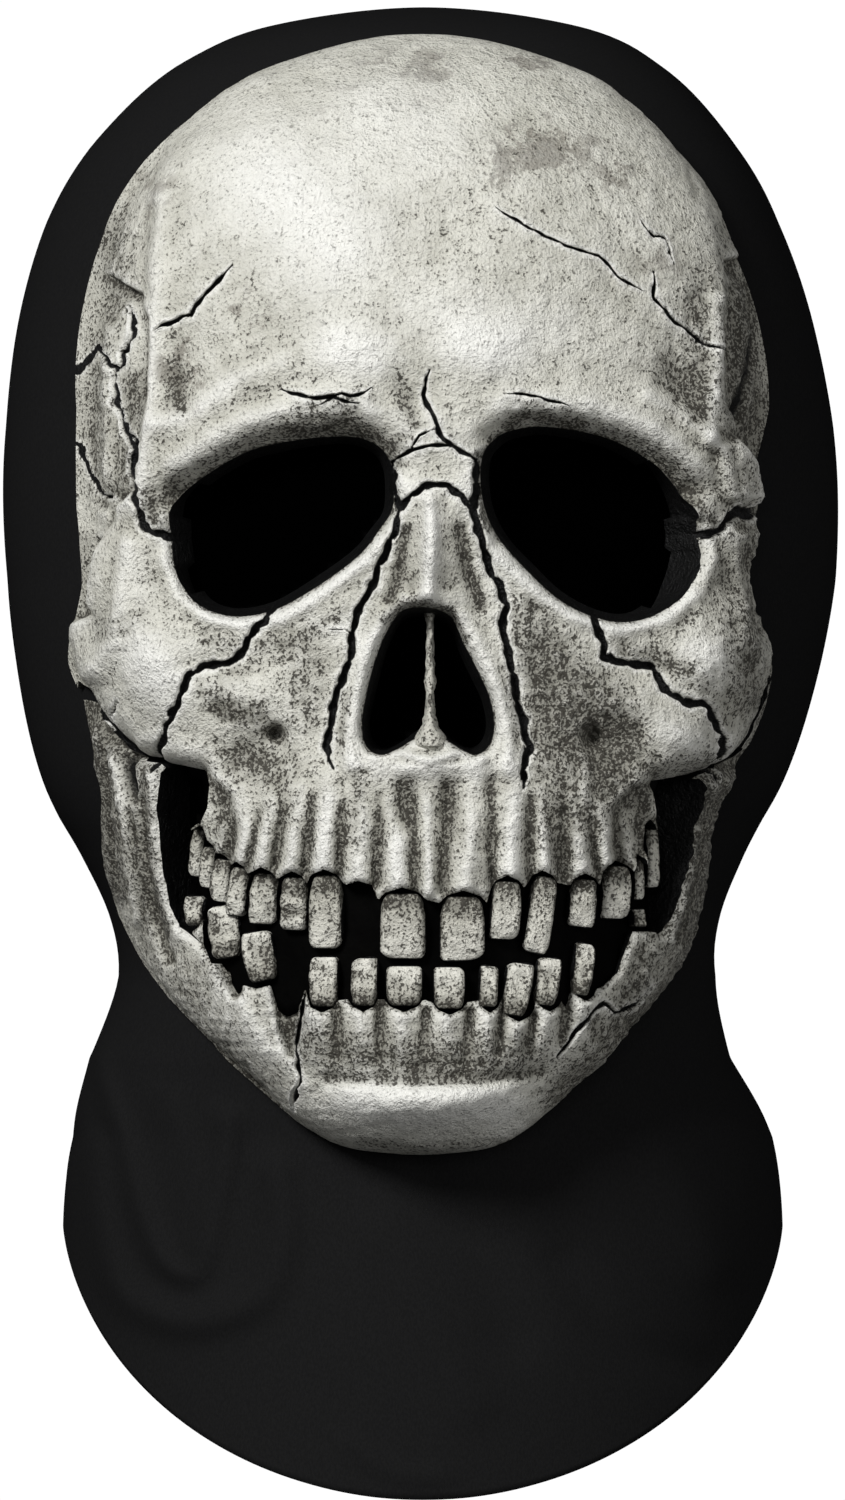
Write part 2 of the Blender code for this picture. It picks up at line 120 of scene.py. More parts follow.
BoneRow = namedtuple("BoneRow", "height half_width stand_off")
BONE_ROWS = [
    BoneRow(-6, 0, 0),
    BoneRow(-13, 31, 5),
    BoneRow(-24, 49, 9),
    BoneRow(-42, 65, 12),
    BoneRow(-66, 76.2, 14),
    BoneRow(-90, 80.2, 15),
    BoneRow(-112, 79.2, 15),
    BoneRow(-130, 78.2, 12),
    BoneRow(-146, 79.6, 11),
    BoneRow(-157, 81.8, 12),
    BoneRow(-168, 79.2, 14),
    BoneRow(-185, 72.8, 18),
    BoneRow(-204, 70.2, 21),
    BoneRow(-219, 66, 24),
    BoneRow(-233, 59.2, 27),
    BoneRow(-250, 44.5, 29),
    BoneRow(-262, 31.5, 26),
    BoneRow(-269.5, 21.5, 19),
    BoneRow(-273.5, 12, 10),
    BoneRow(-275, 0, 0),
]

# How much farther out the bone's rim lies on each side than its table says, at each height.
RimShift = namedtuple("RimShift", "height left right")
RIM_SHIFTS = [
    RimShift(-275, 2.0, 1.0), RimShift(-267, 1.2, -1.0), RimShift(-257, 0.0, -1.8),
    RimShift(-248, -0.8, -2.2), RimShift(-238, 1.2, -1.9), RimShift(-228, 2.0, -1.4),
    RimShift(-219, 2.6, -2.0), RimShift(-209, 2.2, -3.2), RimShift(-200, 1.6, -3.6),
    RimShift(-190, 0.8, -2.6), RimShift(-183, 0.6, 1.0), RimShift(-176, -0.8, 2.6),
    RimShift(-166, -1.8, 2.0), RimShift(-157, 0.4, 0.4), RimShift(-147, 1.2, -4.0),
    RimShift(-139, 0.8, -5.0), RimShift(-130, 1.8, -2.2), RimShift(-120, 2.0, 0.3),
    RimShift(-108, 1.2, -0.5), RimShift(-96, 0.0, 1.8), RimShift(-85, 0.2, 2.2),
    RimShift(-70, 0.1, 1.9), RimShift(-56, 0.6, 1.5), RimShift(-46, 1.6, 0.2),
    RimShift(-36, 1.6, -0.2), RimShift(-27, 0.2, 0.0), RimShift(-12, 0.0, 0.0),
]

# Outlines of the holes, in steps.
LEFT_SOCKET = [
    (168, 529), (168, 512), (175, 497), (210, 473), (253, 451), (301, 441), (350, 438), (378, 447),
    (391, 465), (394, 490), (392, 512), (381, 529), (360, 556), (317, 588), (274, 611), (234, 617),
    (200, 606), (180, 582), (171, 553),
]
RIGHT_SOCKET = [
    (483, 455), (494, 441), (508, 433), (540, 428), (586, 434), (623, 446), (661, 467), (685, 492),
    (700, 521), (703, 548), (693, 580), (669, 608), (634, 622), (597, 619), (559, 601), (527, 572),
    (500, 542), (485, 512), (480, 480),
]
NOSE = [
    (400, 613), (418, 608), (436, 610), (452, 619), (464, 645), (478, 672), (490, 700), (494, 728),
    (488, 747), (474, 755), (457, 747), (441, 738), (429, 741), (415, 739), (400, 748), (381, 755),
    (367, 747), (362, 726), (366, 697), (374, 665), (385, 636),
]

# The upper edge of the cheek's underside, from the rim to the mouth's corner, on both sides.
LEFT_CHEEK = [
    (20, 600), (60, 650), (72, 676), (87, 695), (106, 724), (124, 745), (135, 756), (154, 758),
    (162, 763), (181, 766), (202, 770),
]
LEFT_CORNER = [(208, 784), (206, 808), (198, 824), (188, 830)]
RIGHT_CHEEK = [
    (825, 600), (790, 640), (776, 675), (768, 704), (752, 742), (733, 762), (717, 768), (701, 774),
    (669, 779), (657, 781),
]
RIGHT_CORNER = [(660, 812), (663, 826)]
LEFT_RAMUS = [(160, 772), (158, 815), (165, 868), (172, 905), (181, 927), (192, 937), (203, 946)]
RIGHT_RAMUS = [(660, 934), (665, 925), (674, 902), (690, 854), (703, 800), (708, 779)]
CHEEK_SEAM = 5.0

# Teeth in steps: the left, right, top and bottom of what shows, lean in degrees, and how worn it is.
Tooth = namedtuple("Tooth", "left right top bottom lean worn")
UPPER_TEETH = [
    Tooth(188, 202, 828, 877, 8, 0.2),
    Tooth(198, 213, 846, 888, 8, 0.2),
    Tooth(209, 229, 858, 902, 8, 0.2),
    Tooth(226, 246, 866, 916, 8, 0.3),
    Tooth(248, 276, 872, 924, 4, 0.5),
    Tooth(279, 306, 876, 930, 2, 0.9),
    Tooth(308, 341, 874, 948, 1, 0.4),
    Tooth(380, 425, 892, 958, 0, 0.5),
    Tooth(441, 485, 895, 960, 0, 0.4),
    Tooth(492, 522, 880, 939, 4, 0.3),
    Tooth(529, 555, 875, 953, 9, 0.3),
    Tooth(571, 598, 878, 927, 5, 0.4),
    Tooth(604, 633, 865, 919, 2, 0.3),
    Tooth(635, 646, 858, 900, -4, 0.2),
    Tooth(648, 661, 824, 888, -4, 0.2),
]
LOWER_TEETH = [
    Tooth(182, 201, 895, 926, 0, 0.8),
    Tooth(206, 238, 904, 958, -8, 1.0),
    Tooth(242, 273, 930, 981, -10, 0.9),
    Tooth(308, 337, 955, 1006, 0, 0.6),
    Tooth(350, 377, 956, 1005, 0, 0.8),
    Tooth(386, 422, 964, 1005, 0, 0.4),
    Tooth(434, 465, 965, 1008, 0, 0.4),
    Tooth(480, 499, 964, 1006, 3, 0.6),
    Tooth(505, 532, 961, 1015, 10, 0.5),
    Tooth(537, 561, 956, 1005, 8, 0.8),
    Tooth(575, 595, 942, 995, 8, 0.6),
    Tooth(635, 648, 908, 927, 0, 0.6),
]

# A tooth's depth, and the rise of its front over the bone's plain form, in millimetres.
TOOTH_DEPTH = 7.4
TOOTH_REACH = 3.2

# The share of the arch's turn that a tooth takes, and how much wider it is than what shows.
TOOTH_TURN = 0.45
TOOTH_SPREAD = 1.04
TOOTH_ROWS = 34
TOOTH_COLUMNS = 52

# How far the gum's edge stays clear of a tooth's neck, and how far it reaches in between teeth.
GUM_GAP = 5.5
GUM_TIP = 7.0

# The black arch behind the teeth: the height that its curve is taken from, reach, rise and thickness.
ARCH_HEIGHT = -222.0
BAND_REACH = 54.0
BAND_FRONT = -2.0
BAND_WALL = 4.0

# How far the arch goes on behind the gums, in steps.
BAND_OVERLAP = 10
BAND_ROWS = 13
BAND_COLUMNS = 81

# The plate in the nose opening: how far down and how wide in steps, and its front in millimetres.
SeptumRow = namedtuple("SeptumRow", "down wide front")
SEPTUM_ROWS = [
    SeptumRow(614, 12, -101),
    SeptumRow(624, 7, -101),
    SeptumRow(646, 7, -102),
    SeptumRow(668, 8, -103),
    SeptumRow(682, 12, -104),
    SeptumRow(694, 7, -105),
    SeptumRow(712, 9, -107),
    SeptumRow(726, 16, -108),
    SeptumRow(736, 30, -109),
    SeptumRow(746, 40, -110),
]
SEPTUM_MIDDLE = 430
SEPTUM_BACK = -94
SEPTUM_RINGS = 40
SEPTUM_COLUMNS = 20

# Forms of the bone, in steps, with their rise in millimetres.
Bump = namedtuple("Bump", "across down half_width half_height rise")
BUMPS = [
    Bump(320, 250, 110, 90, 1.5),
    Bump(520, 260, 110, 90, 1.2),
    Bump(350, 352, 46, 30, 2.4),
    Bump(478, 350, 50, 32, 2.6),
    Bump(412, 392, 30, 20, -1.2),
    Bump(182, 370, 22, 48, -2.6),
    Bump(676, 378, 26, 40, -3.0),
    Bump(160, 668, 46, 52, 6.8),
    Bump(708, 668, 42, 46, 6.2),
    Bump(684, 736, 34, 26, 4.0),
    Bump(130, 610, 26, 36, 2.0),
    Bump(736, 610, 24, 36, 2.0),
    Bump(232, 706, 34, 34, 1.8),
    Bump(640, 706, 34, 24, 1.5),
    Bump(277, 734, 8, 8, -6.0),
    Bump(590, 736, 9, 10, -6.0),
    Bump(225, 712, 20, 12, -2.0),
    Bump(258, 752, 52, 30, -4.5),
    Bump(602, 745, 34, 30, -4.5),
    Bump(225, 665, 46, 14, -2.0),
    Bump(640, 668, 40, 14, -1.5),
    Bump(430, 468, 34, 20, -1.5),
    Bump(434, 560, 30, 44, 5.0),
    Bump(428, 602, 34, 14, 3.0),
    Bump(334, 700, 24, 52, -1.8),
    Bump(540, 700, 26, 60, -2.4),
    Bump(404, 806, 17, 30, -3.0),
    Bump(448, 806, 15, 34, -2.6),
    Bump(490, 790, 9, 16, -1.6),
    Bump(430, 766, 70, 10, 2.0),
    Bump(395, 1100, 62, 22, 4.0),
    Bump(470, 1100, 50, 22, 3.2),
    Bump(420, 1070, 90, 14, -1.5),
    Bump(230, 1030, 44, 40, 1.5),
    Bump(600, 1055, 34, 26, 1.5),
]

# fade is the share of its rise that a ridge loses along its path.
Ridge = namedtuple("Ridge", "half_width rise path fade", defaults=[0.0])
RIDGES = [
    Ridge(18, 1.8, [(185, 462), (240, 424), (310, 404), (370, 410)]),
    Ridge(20, 1.8, [(690, 466), (640, 426), (580, 406), (505, 408)]),
    Ridge(13, 1.7, [(158, 425), (188, 419), (214, 398), (238, 382), (280, 366)]),
    Ridge(9, 1.6, [(709, 438), (690, 424), (668, 408), (648, 396)]),
    Ridge(9, 1.8, [(717, 300), (716, 360), (714, 400), (711, 440)]),
    Ridge(12, 1.8, [
        (160, 200), (155, 250), (155, 300), (153, 350), (151, 400), (146, 440), (141, 480),
        (139, 506),
    ]),
    Ridge(7, 2.4, [(723, 450), (732, 495)]),
    Ridge(7, 1.2, [
        (165, 560), (176, 595), (204, 617), (240, 627), (284, 620), (326, 594), (370, 560),
        (398, 524),
    ]),
    Ridge(7, 1.2, [
        (480, 530), (498, 560), (532, 592), (570, 617), (620, 632), (668, 620), (700, 590),
        (711, 556),
    ]),
    Ridge(12, 2.6, [(128, 545), (122, 590), (112, 640), (96, 668)]),
    Ridge(12, 2.2, [(736, 540), (744, 590), (750, 640)]),
    Ridge(8, 1.7, [(352, 762), (348, 735), (355, 690), (367, 650), (384, 618), (402, 602)]),
    Ridge(8, 1.7, [(508, 768), (509, 735), (499, 690), (482, 650), (464, 618)]),
    Ridge(9, 3.6, [(430, 504), (432, 540), (428, 594)]),
    Ridge(7, -1.4, [(404, 530), (400, 570), (390, 600)]),
    Ridge(7, -1.4, [(460, 530), (468, 570), (480, 606)]),
    Ridge(8, 1.2, [(582, 736), (584, 770), (584, 800)]),
    Ridge(4, 2.0, [(374, 757), (400, 753), (430, 760), (460, 753), (484, 758)]),
    Ridge(9, 1.4, [(150, 770), (151, 830), (160, 890), (178, 935)]),
    Ridge(5, -2.0, [(141, 800), (146, 860), (156, 920), (170, 960)]),
    Ridge(6, 1.4, [(96, 712), (101, 790), (108, 850), (116, 890)]),
    Ridge(3.5, -2.6, [(104, 730), (109, 800), (114, 850), (118, 892)]),
    Ridge(5, 1.2, [(122, 800), (127, 860), (138, 920)]),
    Ridge(5, 1.4, [(700, 800), (695, 840), (684, 890), (668, 940)]),
    Ridge(4, -1.4, [(708, 800), (701, 850), (690, 900), (678, 940)]),
    Ridge(5, -0.8, [(717, 800), (711, 830), (700, 890), (688, 940)]),
    Ridge(9, 1.6, [(242, 1000), (262, 1040), (300, 1080)]),
    Ridge(7, -1.6, [(330, 1078), (400, 1082), (480, 1080), (540, 1070)]),
    Ridge(6, 1.2, [(110, 330), (104, 420), (108, 480)]),
    Ridge(6, -1.6, [(88, 400), (92, 470), (104, 505)]),
    Ridge(6, 1.4, [(738, 290), (745, 350), (742, 400)]),
]
# Swellings over the teeth's roots and hollows between them, from the gum on.
ROOTS = [
    Ridge(4, 1.2, [(219, 856), (228, 812)]),
    Ridge(4, -1.4, [(228, 862), (236, 820)]),
    Ridge(6, 1.8, [(238, 864), (250, 812)]),
    Ridge(4, -1.8, [(248, 870), (260, 812)]),
    Ridge(8, 2.6, [(259, 868), (273, 798)]),
    Ridge(5, -2.4, [(276, 866), (284, 806)]),
    Ridge(8, 2.6, [(290, 866), (301, 790)]),
    Ridge(5, -2.4, [(306, 872), (314, 798)]),
    Ridge(10, 3.0, [(322, 874), (330, 780)]),
    Ridge(5, -2.2, [(340, 880), (341, 806)]),
    Ridge(11, 2.4, [(358, 878), (362, 782)]),
    Ridge(6, -2.4, [(377, 882), (379, 796)]),
    Ridge(10, 2.8, [(398, 884), (395, 785)]),
    Ridge(5, -1.6, [(415, 888), (413, 800)]),
    Ridge(6, 2.2, [(429, 890), (428, 800)]),
    Ridge(6, -2.2, [(444, 888), (448, 790)]),
    Ridge(11, 2.8, [(466, 886), (476, 780)]),
    Ridge(5, -2.4, [(492, 880), (491, 806)]),
    Ridge(11, 3.0, [(511, 872), (516, 770)]),
    Ridge(5, -2.4, [(529, 876), (529, 800)]),
    Ridge(8, 2.6, [(545, 872), (541, 790)]),
    Ridge(8, -3.4, [(563, 874), (563, 812)]),
    Ridge(8, 2.4, [(583, 874), (577, 812)]),
    Ridge(4, -2.0, [(597, 872), (590, 822)]),
    Ridge(7, 2.0, [(608, 864), (600, 806)]),
    Ridge(4, -2.0, [(620, 860), (613, 812)]),
    Ridge(5, 1.6, [(629, 858), (624, 812)]),
    Ridge(11, 2.2, [(316, 1014), (318, 1066)]),
    Ridge(5, -2.8, [(338, 1008), (339, 1056)]),
    Ridge(11, 2.2, [(360, 1014), (359, 1064)]),
    Ridge(5, -2.8, [(381, 1008), (380, 1058)]),
    Ridge(11, 2.2, [(402, 1016), (401, 1064)]),
    Ridge(5, -2.4, [(426, 1010), (424, 1054)]),
    Ridge(11, 2.2, [(447, 1016), (445, 1064)]),
    Ridge(5, -2.8, [(470, 1010), (467, 1058)]),
    Ridge(9, 2.0, [(487, 1014), (484, 1062)]),
    Ridge(4, -2.8, [(502, 1010), (499, 1050)]),
    Ridge(9, 2.2, [(517, 1024), (512, 1064)]),
    Ridge(4, -2.6, [(533, 1014), (530, 1050)]),
    Ridge(9, 2.0, [(548, 1012), (542, 1055)]),
    Ridge(6, -3.6, [(566, 992), (564, 1040)]),
    Ridge(8, 1.8, [(585, 1002), (578, 1040)]),
]
ROOT_FADE = 0.75

# Places that lie behind their surroundings, with a steep edge, and how dark they are painted as painted
# shade, 1 for black.
Step = namedtuple("Step", "drop blend paint outline")
STEPS = [
    Step(2.0, 12, 0.0, [
        (30, 170), (160, 150), (150, 200), (146, 260), (146, 300), (110, 280), (30, 270),
    ]),
    Step(4.5, 6, 0.0, [
        (40, 262), (110, 278), (140, 296), (148, 320), (148, 350), (146, 400), (141, 440), (136, 478),
        (130, 492), (117, 508), (111, 530), (110, 560), (106, 592), (96, 614), (40, 628),
    ]),
    Step(2.5, 12, 0.0, [(830, 170), (706, 150), (722, 210), (728, 270), (830, 250)]),
    Step(5.5, 6, 0.2, [
        (820, 240), (728, 262), (726, 330), (727, 400), (731, 440), (736, 478), (741, 505), (747, 545),
        (752, 585), (758, 612), (820, 640),
    ]),
    Step(3.0, 5, 1.0, [(98, 541), (109, 543), (110, 570), (105, 596), (95, 612), (94, 590), (97, 566)]),
    Step(3.0, 5, 1.0, [(734, 456), (752, 455), (756, 478), (749, 528), (743, 508), (737, 482)]),
    Step(2.5, 5, 1.0, [
        (753, 320), (752, 345), (750, 370), (745, 388), (742, 412), (734, 430), (728, 436), (731, 408),
        (741, 384), (745, 352),
    ]),
    Step(3.4, 7, 0.25, [(206, 772), (230, 796), (238, 830), (234, 868), (180, 850), (200, 812)]),
    Step(3.4, 7, 0.4, [(657, 782), (634, 788), (616, 806), (612, 850), (618, 872), (670, 830)]),
    Step(3.5, 4, 1.0, [(123, 757), (135, 762), (137, 790), (133, 802), (127, 790)]),
    Step(4.0, 6, 0.9, [
        (275, 960), (305, 968), (304, 1010), (297, 1044), (290, 1052), (282, 1030), (276, 1000),
    ]),
    Step(4.0, 6, 0.5, [(212, 950), (236, 955), (240, 990), (236, 996), (226, 975)]),
]

# Edges that round off towards a hole: how wide and how deep, in steps and millimetres.
Lip = namedtuple("Lip", "width depth path")
LIPS = [
    Lip(34, 8.0, LEFT_SOCKET[2:9]),
    Lip(16, 5.0, LEFT_SOCKET[8:12]),
    Lip(7, 3.0, LEFT_SOCKET[11:] + LEFT_SOCKET[:3]),
    Lip(32, 8.0, RIGHT_SOCKET[1:8]),
    Lip(13, 5.0, RIGHT_SOCKET[16:] + RIGHT_SOCKET[:2]),
    Lip(7, 3.0, RIGHT_SOCKET[8:17]),
    Lip(8, 3.2, NOSE + NOSE[:1]),
    Lip(20, 6.0, LEFT_CHEEK[1:]),
    Lip(20, 6.0, RIGHT_CHEEK[1:]),
    Lip(7, 2.0, LEFT_RAMUS),
    Lip(7, 2.0, RIGHT_RAMUS),
]

# Cracks: width in steps, and line.
Crack = namedtuple("Crack", "width path")
CRACKS = [
    Crack(8.0, [
        (282, 594), (270, 614), (253, 636), (247, 652), (226, 663), (207, 666), (189, 676),
        (178, 702), (164, 728), (152, 772),
    ]),
    Crack(6.0, [(66, 390), (97, 346), (114, 370), (122, 366), (134, 331), (131, 309), (126, 312)]),
    Crack(7.0, [(114, 370), (114, 398), (124, 430), (136, 454)]),
    Crack(9.0, [(132, 436), (136, 454), (134, 486), (140, 521), (146, 532), (190, 541)]),
    Crack(4.0, [(77, 433), (92, 476), (103, 494), (119, 502)]),
    Crack(4.5, [(155, 331), (191, 315), (199, 304), (215, 288), (232, 268)]),
    Crack(4.5, [(284, 392), (300, 396), (312, 399), (331, 399), (357, 405)]),
    Crack(3.5, [(322, 406), (340, 396), (359, 398), (371, 390)]),
    Crack(5.0, [(429, 374), (425, 400), (436, 425), (441, 438), (455, 449), (476, 461)]),
    Crack(3.0, [(436, 430), (418, 438), (411, 450)]),
    Crack(4.0, [(391, 465), (414, 450), (440, 447), (455, 449)]),
    Crack(7.0, [
        (393, 462), (393, 489), (399, 513), (410, 497), (430, 487), (449, 488), (464, 500),
        (478, 524),
    ]),
    Crack(8.0, [(399, 513), (393, 537), (384, 559), (369, 593), (357, 617), (352, 634), (353, 652),
                (343, 676), (333, 710), (325, 744), (334, 768)]),
    Crack(8.5, [(474, 461), (474, 516), (482, 553), (500, 588), (506, 607), (503, 634), (511, 668),
                (519, 710), (528, 744), (523, 771), (523, 787)]),
    Crack(8.5, [
        (588, 600), (594, 617), (602, 655), (618, 663), (650, 666), (661, 686), (683, 699),
        (707, 706), (724, 736), (716, 782),
    ]),
    Crack(8.5, [(748, 494), (728, 521), (717, 534), (686, 534)]),
    Crack(2.8, [(496, 210), (525, 229), (560, 245), (598, 259), (620, 280), (641, 292)]),
    Crack(3.6, [(653, 275), (654, 301), (685, 331), (707, 347), (725, 350)]),
    Crack(3.0, [(508, 396), (538, 398), (567, 407)]),
    Crack(4.0, [(306, 993), (295, 1049), (302, 1084), (295, 1090), (295, 1111)]),
    Crack(4.5, [(557, 1055), (582, 1023), (604, 1002), (617, 1012), (638, 1005), (652, 985)]),
    Crack(2.6, [(352, 634), (344, 628), (332, 630)]),
    Crack(2.4, [(118, 700), (112, 722), (124, 740)]),
    Crack(2.4, [(640, 222), (652, 240), (664, 236), (672, 262)]),
]
CRACK_DEPTH = 2.2

# Cracks whose line goes above this place are on the face, and those that go below it on the jaw.
CRACK_SEAM = 960

# Grime and painted shade brushed on the bone: strength, half width in steps, and line.
Stroke = namedtuple("Stroke", "strength half_width path fade", defaults=[0.0])
GRIME_AND_SHADE = [
    Stroke(0.95, 12, [(292, 434), (345, 428), (376, 440), (392, 458)]),
    Stroke(0.6, 15, [(205, 466), (255, 440), (300, 425), (350, 412)]),
    Stroke(0.55, 9, [(300, 408), (345, 402), (372, 398)]),
    Stroke(0.75, 9, [(146, 492), (150, 515), (163, 528)]),
    Stroke(0.6, 14, [(160, 508), (176, 480)]),
    Stroke(0.95, 9, [(508, 428), (525, 416), (545, 420), (575, 428)]),
    Stroke(0.65, 12, [(575, 425), (630, 440), (670, 462), (695, 490)]),
    Stroke(0.85, 9, [(688, 498), (706, 518), (714, 534)]),
    Stroke(0.6, 6, [(505, 400), (540, 404), (566, 412)]),
    Stroke(0.9, 7, [(392, 455), (393, 480), (396, 510)]),
    Stroke(0.95, 7, [(476, 455), (479, 490), (486, 530)]),
    Stroke(0.6, 8, [(404, 405), (414, 425)]),
    Stroke(0.45, 10, [(400, 442), (455, 440)]),
    Stroke(0.5, 24, [(100, 345), (95, 420), (100, 490)]),
    Stroke(0.3, 26, [(105, 190), (110, 300)]),
    Stroke(0.65, 11, [(134, 380), (130, 450), (126, 490)]),
    Stroke(0.5, 12, [(88, 540), (90, 600)]),
    Stroke(0.4, 22, [(105, 220), (122, 300)]),
    Stroke(0.95, 15, [(742, 290), (745, 360), (740, 430)]),
    Stroke(1.0, 10, [(742, 450), (745, 500), (750, 560)]),
    Stroke(0.55, 14, [(757, 400), (759, 480)]),
    Stroke(0.5, 16, [(176, 376), (180, 410)]),
    Stroke(0.6, 15, [(664, 366), (700, 412)]),
    Stroke(0.5, 9, [(205, 640), (250, 648), (300, 640), (345, 612)]),
    Stroke(0.45, 30, [(300, 660), (310, 710)]),
    Stroke(0.6, 16, [(218, 702), (250, 712)]),
    Stroke(0.85, 9, [(222, 710), (240, 718)]),
    Stroke(0.75, 12, [(258, 718), (274, 732)]),
    Stroke(1.0, 6, [(274, 733), (280, 737)]),
    Stroke(0.55, 28, [(235, 762), (280, 775)]),
    Stroke(0.4, 12, [(200, 690), (240, 672)]),
    Stroke(0.45, 14, [(112, 630), (140, 618)]),
    Stroke(0.55, 26, [(528, 620), (545, 680), (556, 740)]),
    Stroke(0.4, 30, [(550, 740), (555, 800)]),
    # Painted shade: the whole right side made darker, as it lies away from the light.
    Stroke(0.4, 60, [(745, 250), (745, 600), (720, 900)]),
    Stroke(0.35, 40, [(540, 660), (575, 750), (575, 830)]),
    Stroke(0.6, 26, [(594, 690), (602, 740), (606, 780)]),
    Stroke(0.95, 22, [(584, 736), (606, 756), (612, 776)]),
    Stroke(0.6, 20, [(330, 1046), (420, 1056), (520, 1048)]),
    Stroke(0.6, 14, [(430, 1062), (470, 1068)]),
    Stroke(0.5, 16, [(690, 300), (706, 400)]),
    Stroke(0.55, 16, [(560, 650), (580, 700)]),
    Stroke(1.0, 16, [(588, 730), (606, 758)]),
    Stroke(1.0, 7, [(586, 734), (594, 742)]),
    Stroke(0.7, 15, [(572, 716), (620, 728)]),
    Stroke(0.6, 12, [(620, 650), (670, 662), (700, 680)]),
    Stroke(0.5, 18, [(620, 700), (640, 764)]),
    Stroke(0.55, 12, [(655, 770), (700, 760)]),
    Stroke(0.6, 18, [(740, 620), (752, 700)]),
    Stroke(0.4, 10, [(406, 530), (400, 575), (392, 600)]),
    Stroke(0.5, 11, [(458, 530), (468, 575), (482, 606)]),
    Stroke(0.95, 6, [(384, 622), (400, 606), (420, 602), (450, 612), (466, 640)]),
    Stroke(0.5, 9, [(350, 690), (342, 740)]),
    Stroke(0.5, 9, [(508, 680), (514, 735)]),
    Stroke(0.75, 14, [(404, 786), (405, 808)]),
    Stroke(0.65, 12, [(447, 786), (446, 812)]),
    Stroke(0.6, 12, [(362, 772), (354, 830)], 0.5),
    Stroke(0.85, 5, [(439, 882), (442, 830)], 0.6),
    Stroke(0.85, 5, [(414, 886), (412, 830)], 0.7),
    Stroke(0.9, 5, [(378, 880), (379, 800)], 0.7),
    Stroke(0.85, 5, [(340, 878), (341, 810)], 0.8),
    Stroke(0.85, 5, [(306, 870), (314, 800)], 0.8),
    Stroke(0.9, 5, [(276, 864), (284, 806)], 0.7),
    Stroke(0.8, 5, [(248, 866), (260, 814)], 0.7),
    Stroke(0.8, 4, [(228, 860), (236, 822)], 0.7),
    Stroke(0.9, 5, [(492, 876), (491, 812)], 0.7),
    Stroke(0.85, 5, [(529, 874), (529, 805)], 0.7),
    Stroke(1.0, 10, [(562, 868), (563, 822)]),
    Stroke(0.6, 9, [(560, 820), (556, 780)], 0.9),
    Stroke(0.85, 5, [(597, 870), (590, 824)], 0.5),
    Stroke(0.8, 4, [(620, 858), (613, 814)], 0.5),
    Stroke(0.9, 12, [(642, 796), (646, 850)]),
    Stroke(0.6, 12, [(222, 790), (226, 845)]),
    Stroke(0.45, 12, [(198, 800), (192, 826)]),
    Stroke(0.35, 30, [(280, 820), (420, 850), (600, 820)]),
    Stroke(1.0, 5, [(338, 1006), (339, 1056)], 0.8),
    Stroke(1.0, 5, [(381, 1006), (380, 1058)], 0.8),
    Stroke(1.0, 5, [(426, 1008), (424, 1054)], 0.8),
    Stroke(1.0, 5, [(470, 1008), (467, 1058)], 0.8),
    Stroke(1.0, 5, [(502, 1008), (499, 1052)], 0.8),
    Stroke(1.0, 5, [(533, 1012), (530, 1052)], 0.8),
    Stroke(1.0, 7, [(566, 985), (564, 1042)], 0.3),
    Stroke(0.4, 26, [(320, 1040), (420, 1050), (540, 1040)]),
    Stroke(0.5, 10, [(330, 1070), (420, 1074), (520, 1066)]),
    Stroke(0.55, 14, [(300, 1000), (296, 1050)]),
    Stroke(0.85, 12, [(284, 975), (292, 1030)]),
    Stroke(0.7, 12, [(212, 960), (234, 985)]),
    Stroke(0.45, 22, [(150, 940), (200, 1010), (250, 1080)]),
    Stroke(0.3, 40, [(240, 980), (280, 1060)]),
    Stroke(0.7, 22, [(645, 960), (610, 1045), (555, 1095)]),
    Stroke(0.5, 10, [(580, 1000), (600, 1040)]),
    Stroke(0.5, 10, [(360, 1142), (430, 1148), (500, 1140)]),
    Stroke(0.75, 7, [(130, 760), (134, 840), (148, 920)]),
    Stroke(0.6, 5, [(112, 730), (117, 810), (128, 890)]),
    Stroke(0.45, 14, [(148, 780), (150, 850), (165, 920)]),
    Stroke(1.0, 16, [(724, 776), (716, 850), (694, 930)]),
    Stroke(0.85, 20, [(704, 780), (690, 850), (664, 925)]),
    Stroke(1.0, 4, [(708, 790), (701, 850), (690, 900), (678, 940)]),
    Stroke(0.8, 16, [(700, 930), (670, 985), (630, 1030)]),
    Stroke(0.85, 13, [(96, 712), (102, 790), (110, 860), (118, 895)]),
    Stroke(1.0, 3.5, [(105, 735), (110, 800), (115, 850), (119, 895)]),
    Stroke(1.0, 5, [(145, 772), (149, 830), (158, 900), (170, 935)]),
]
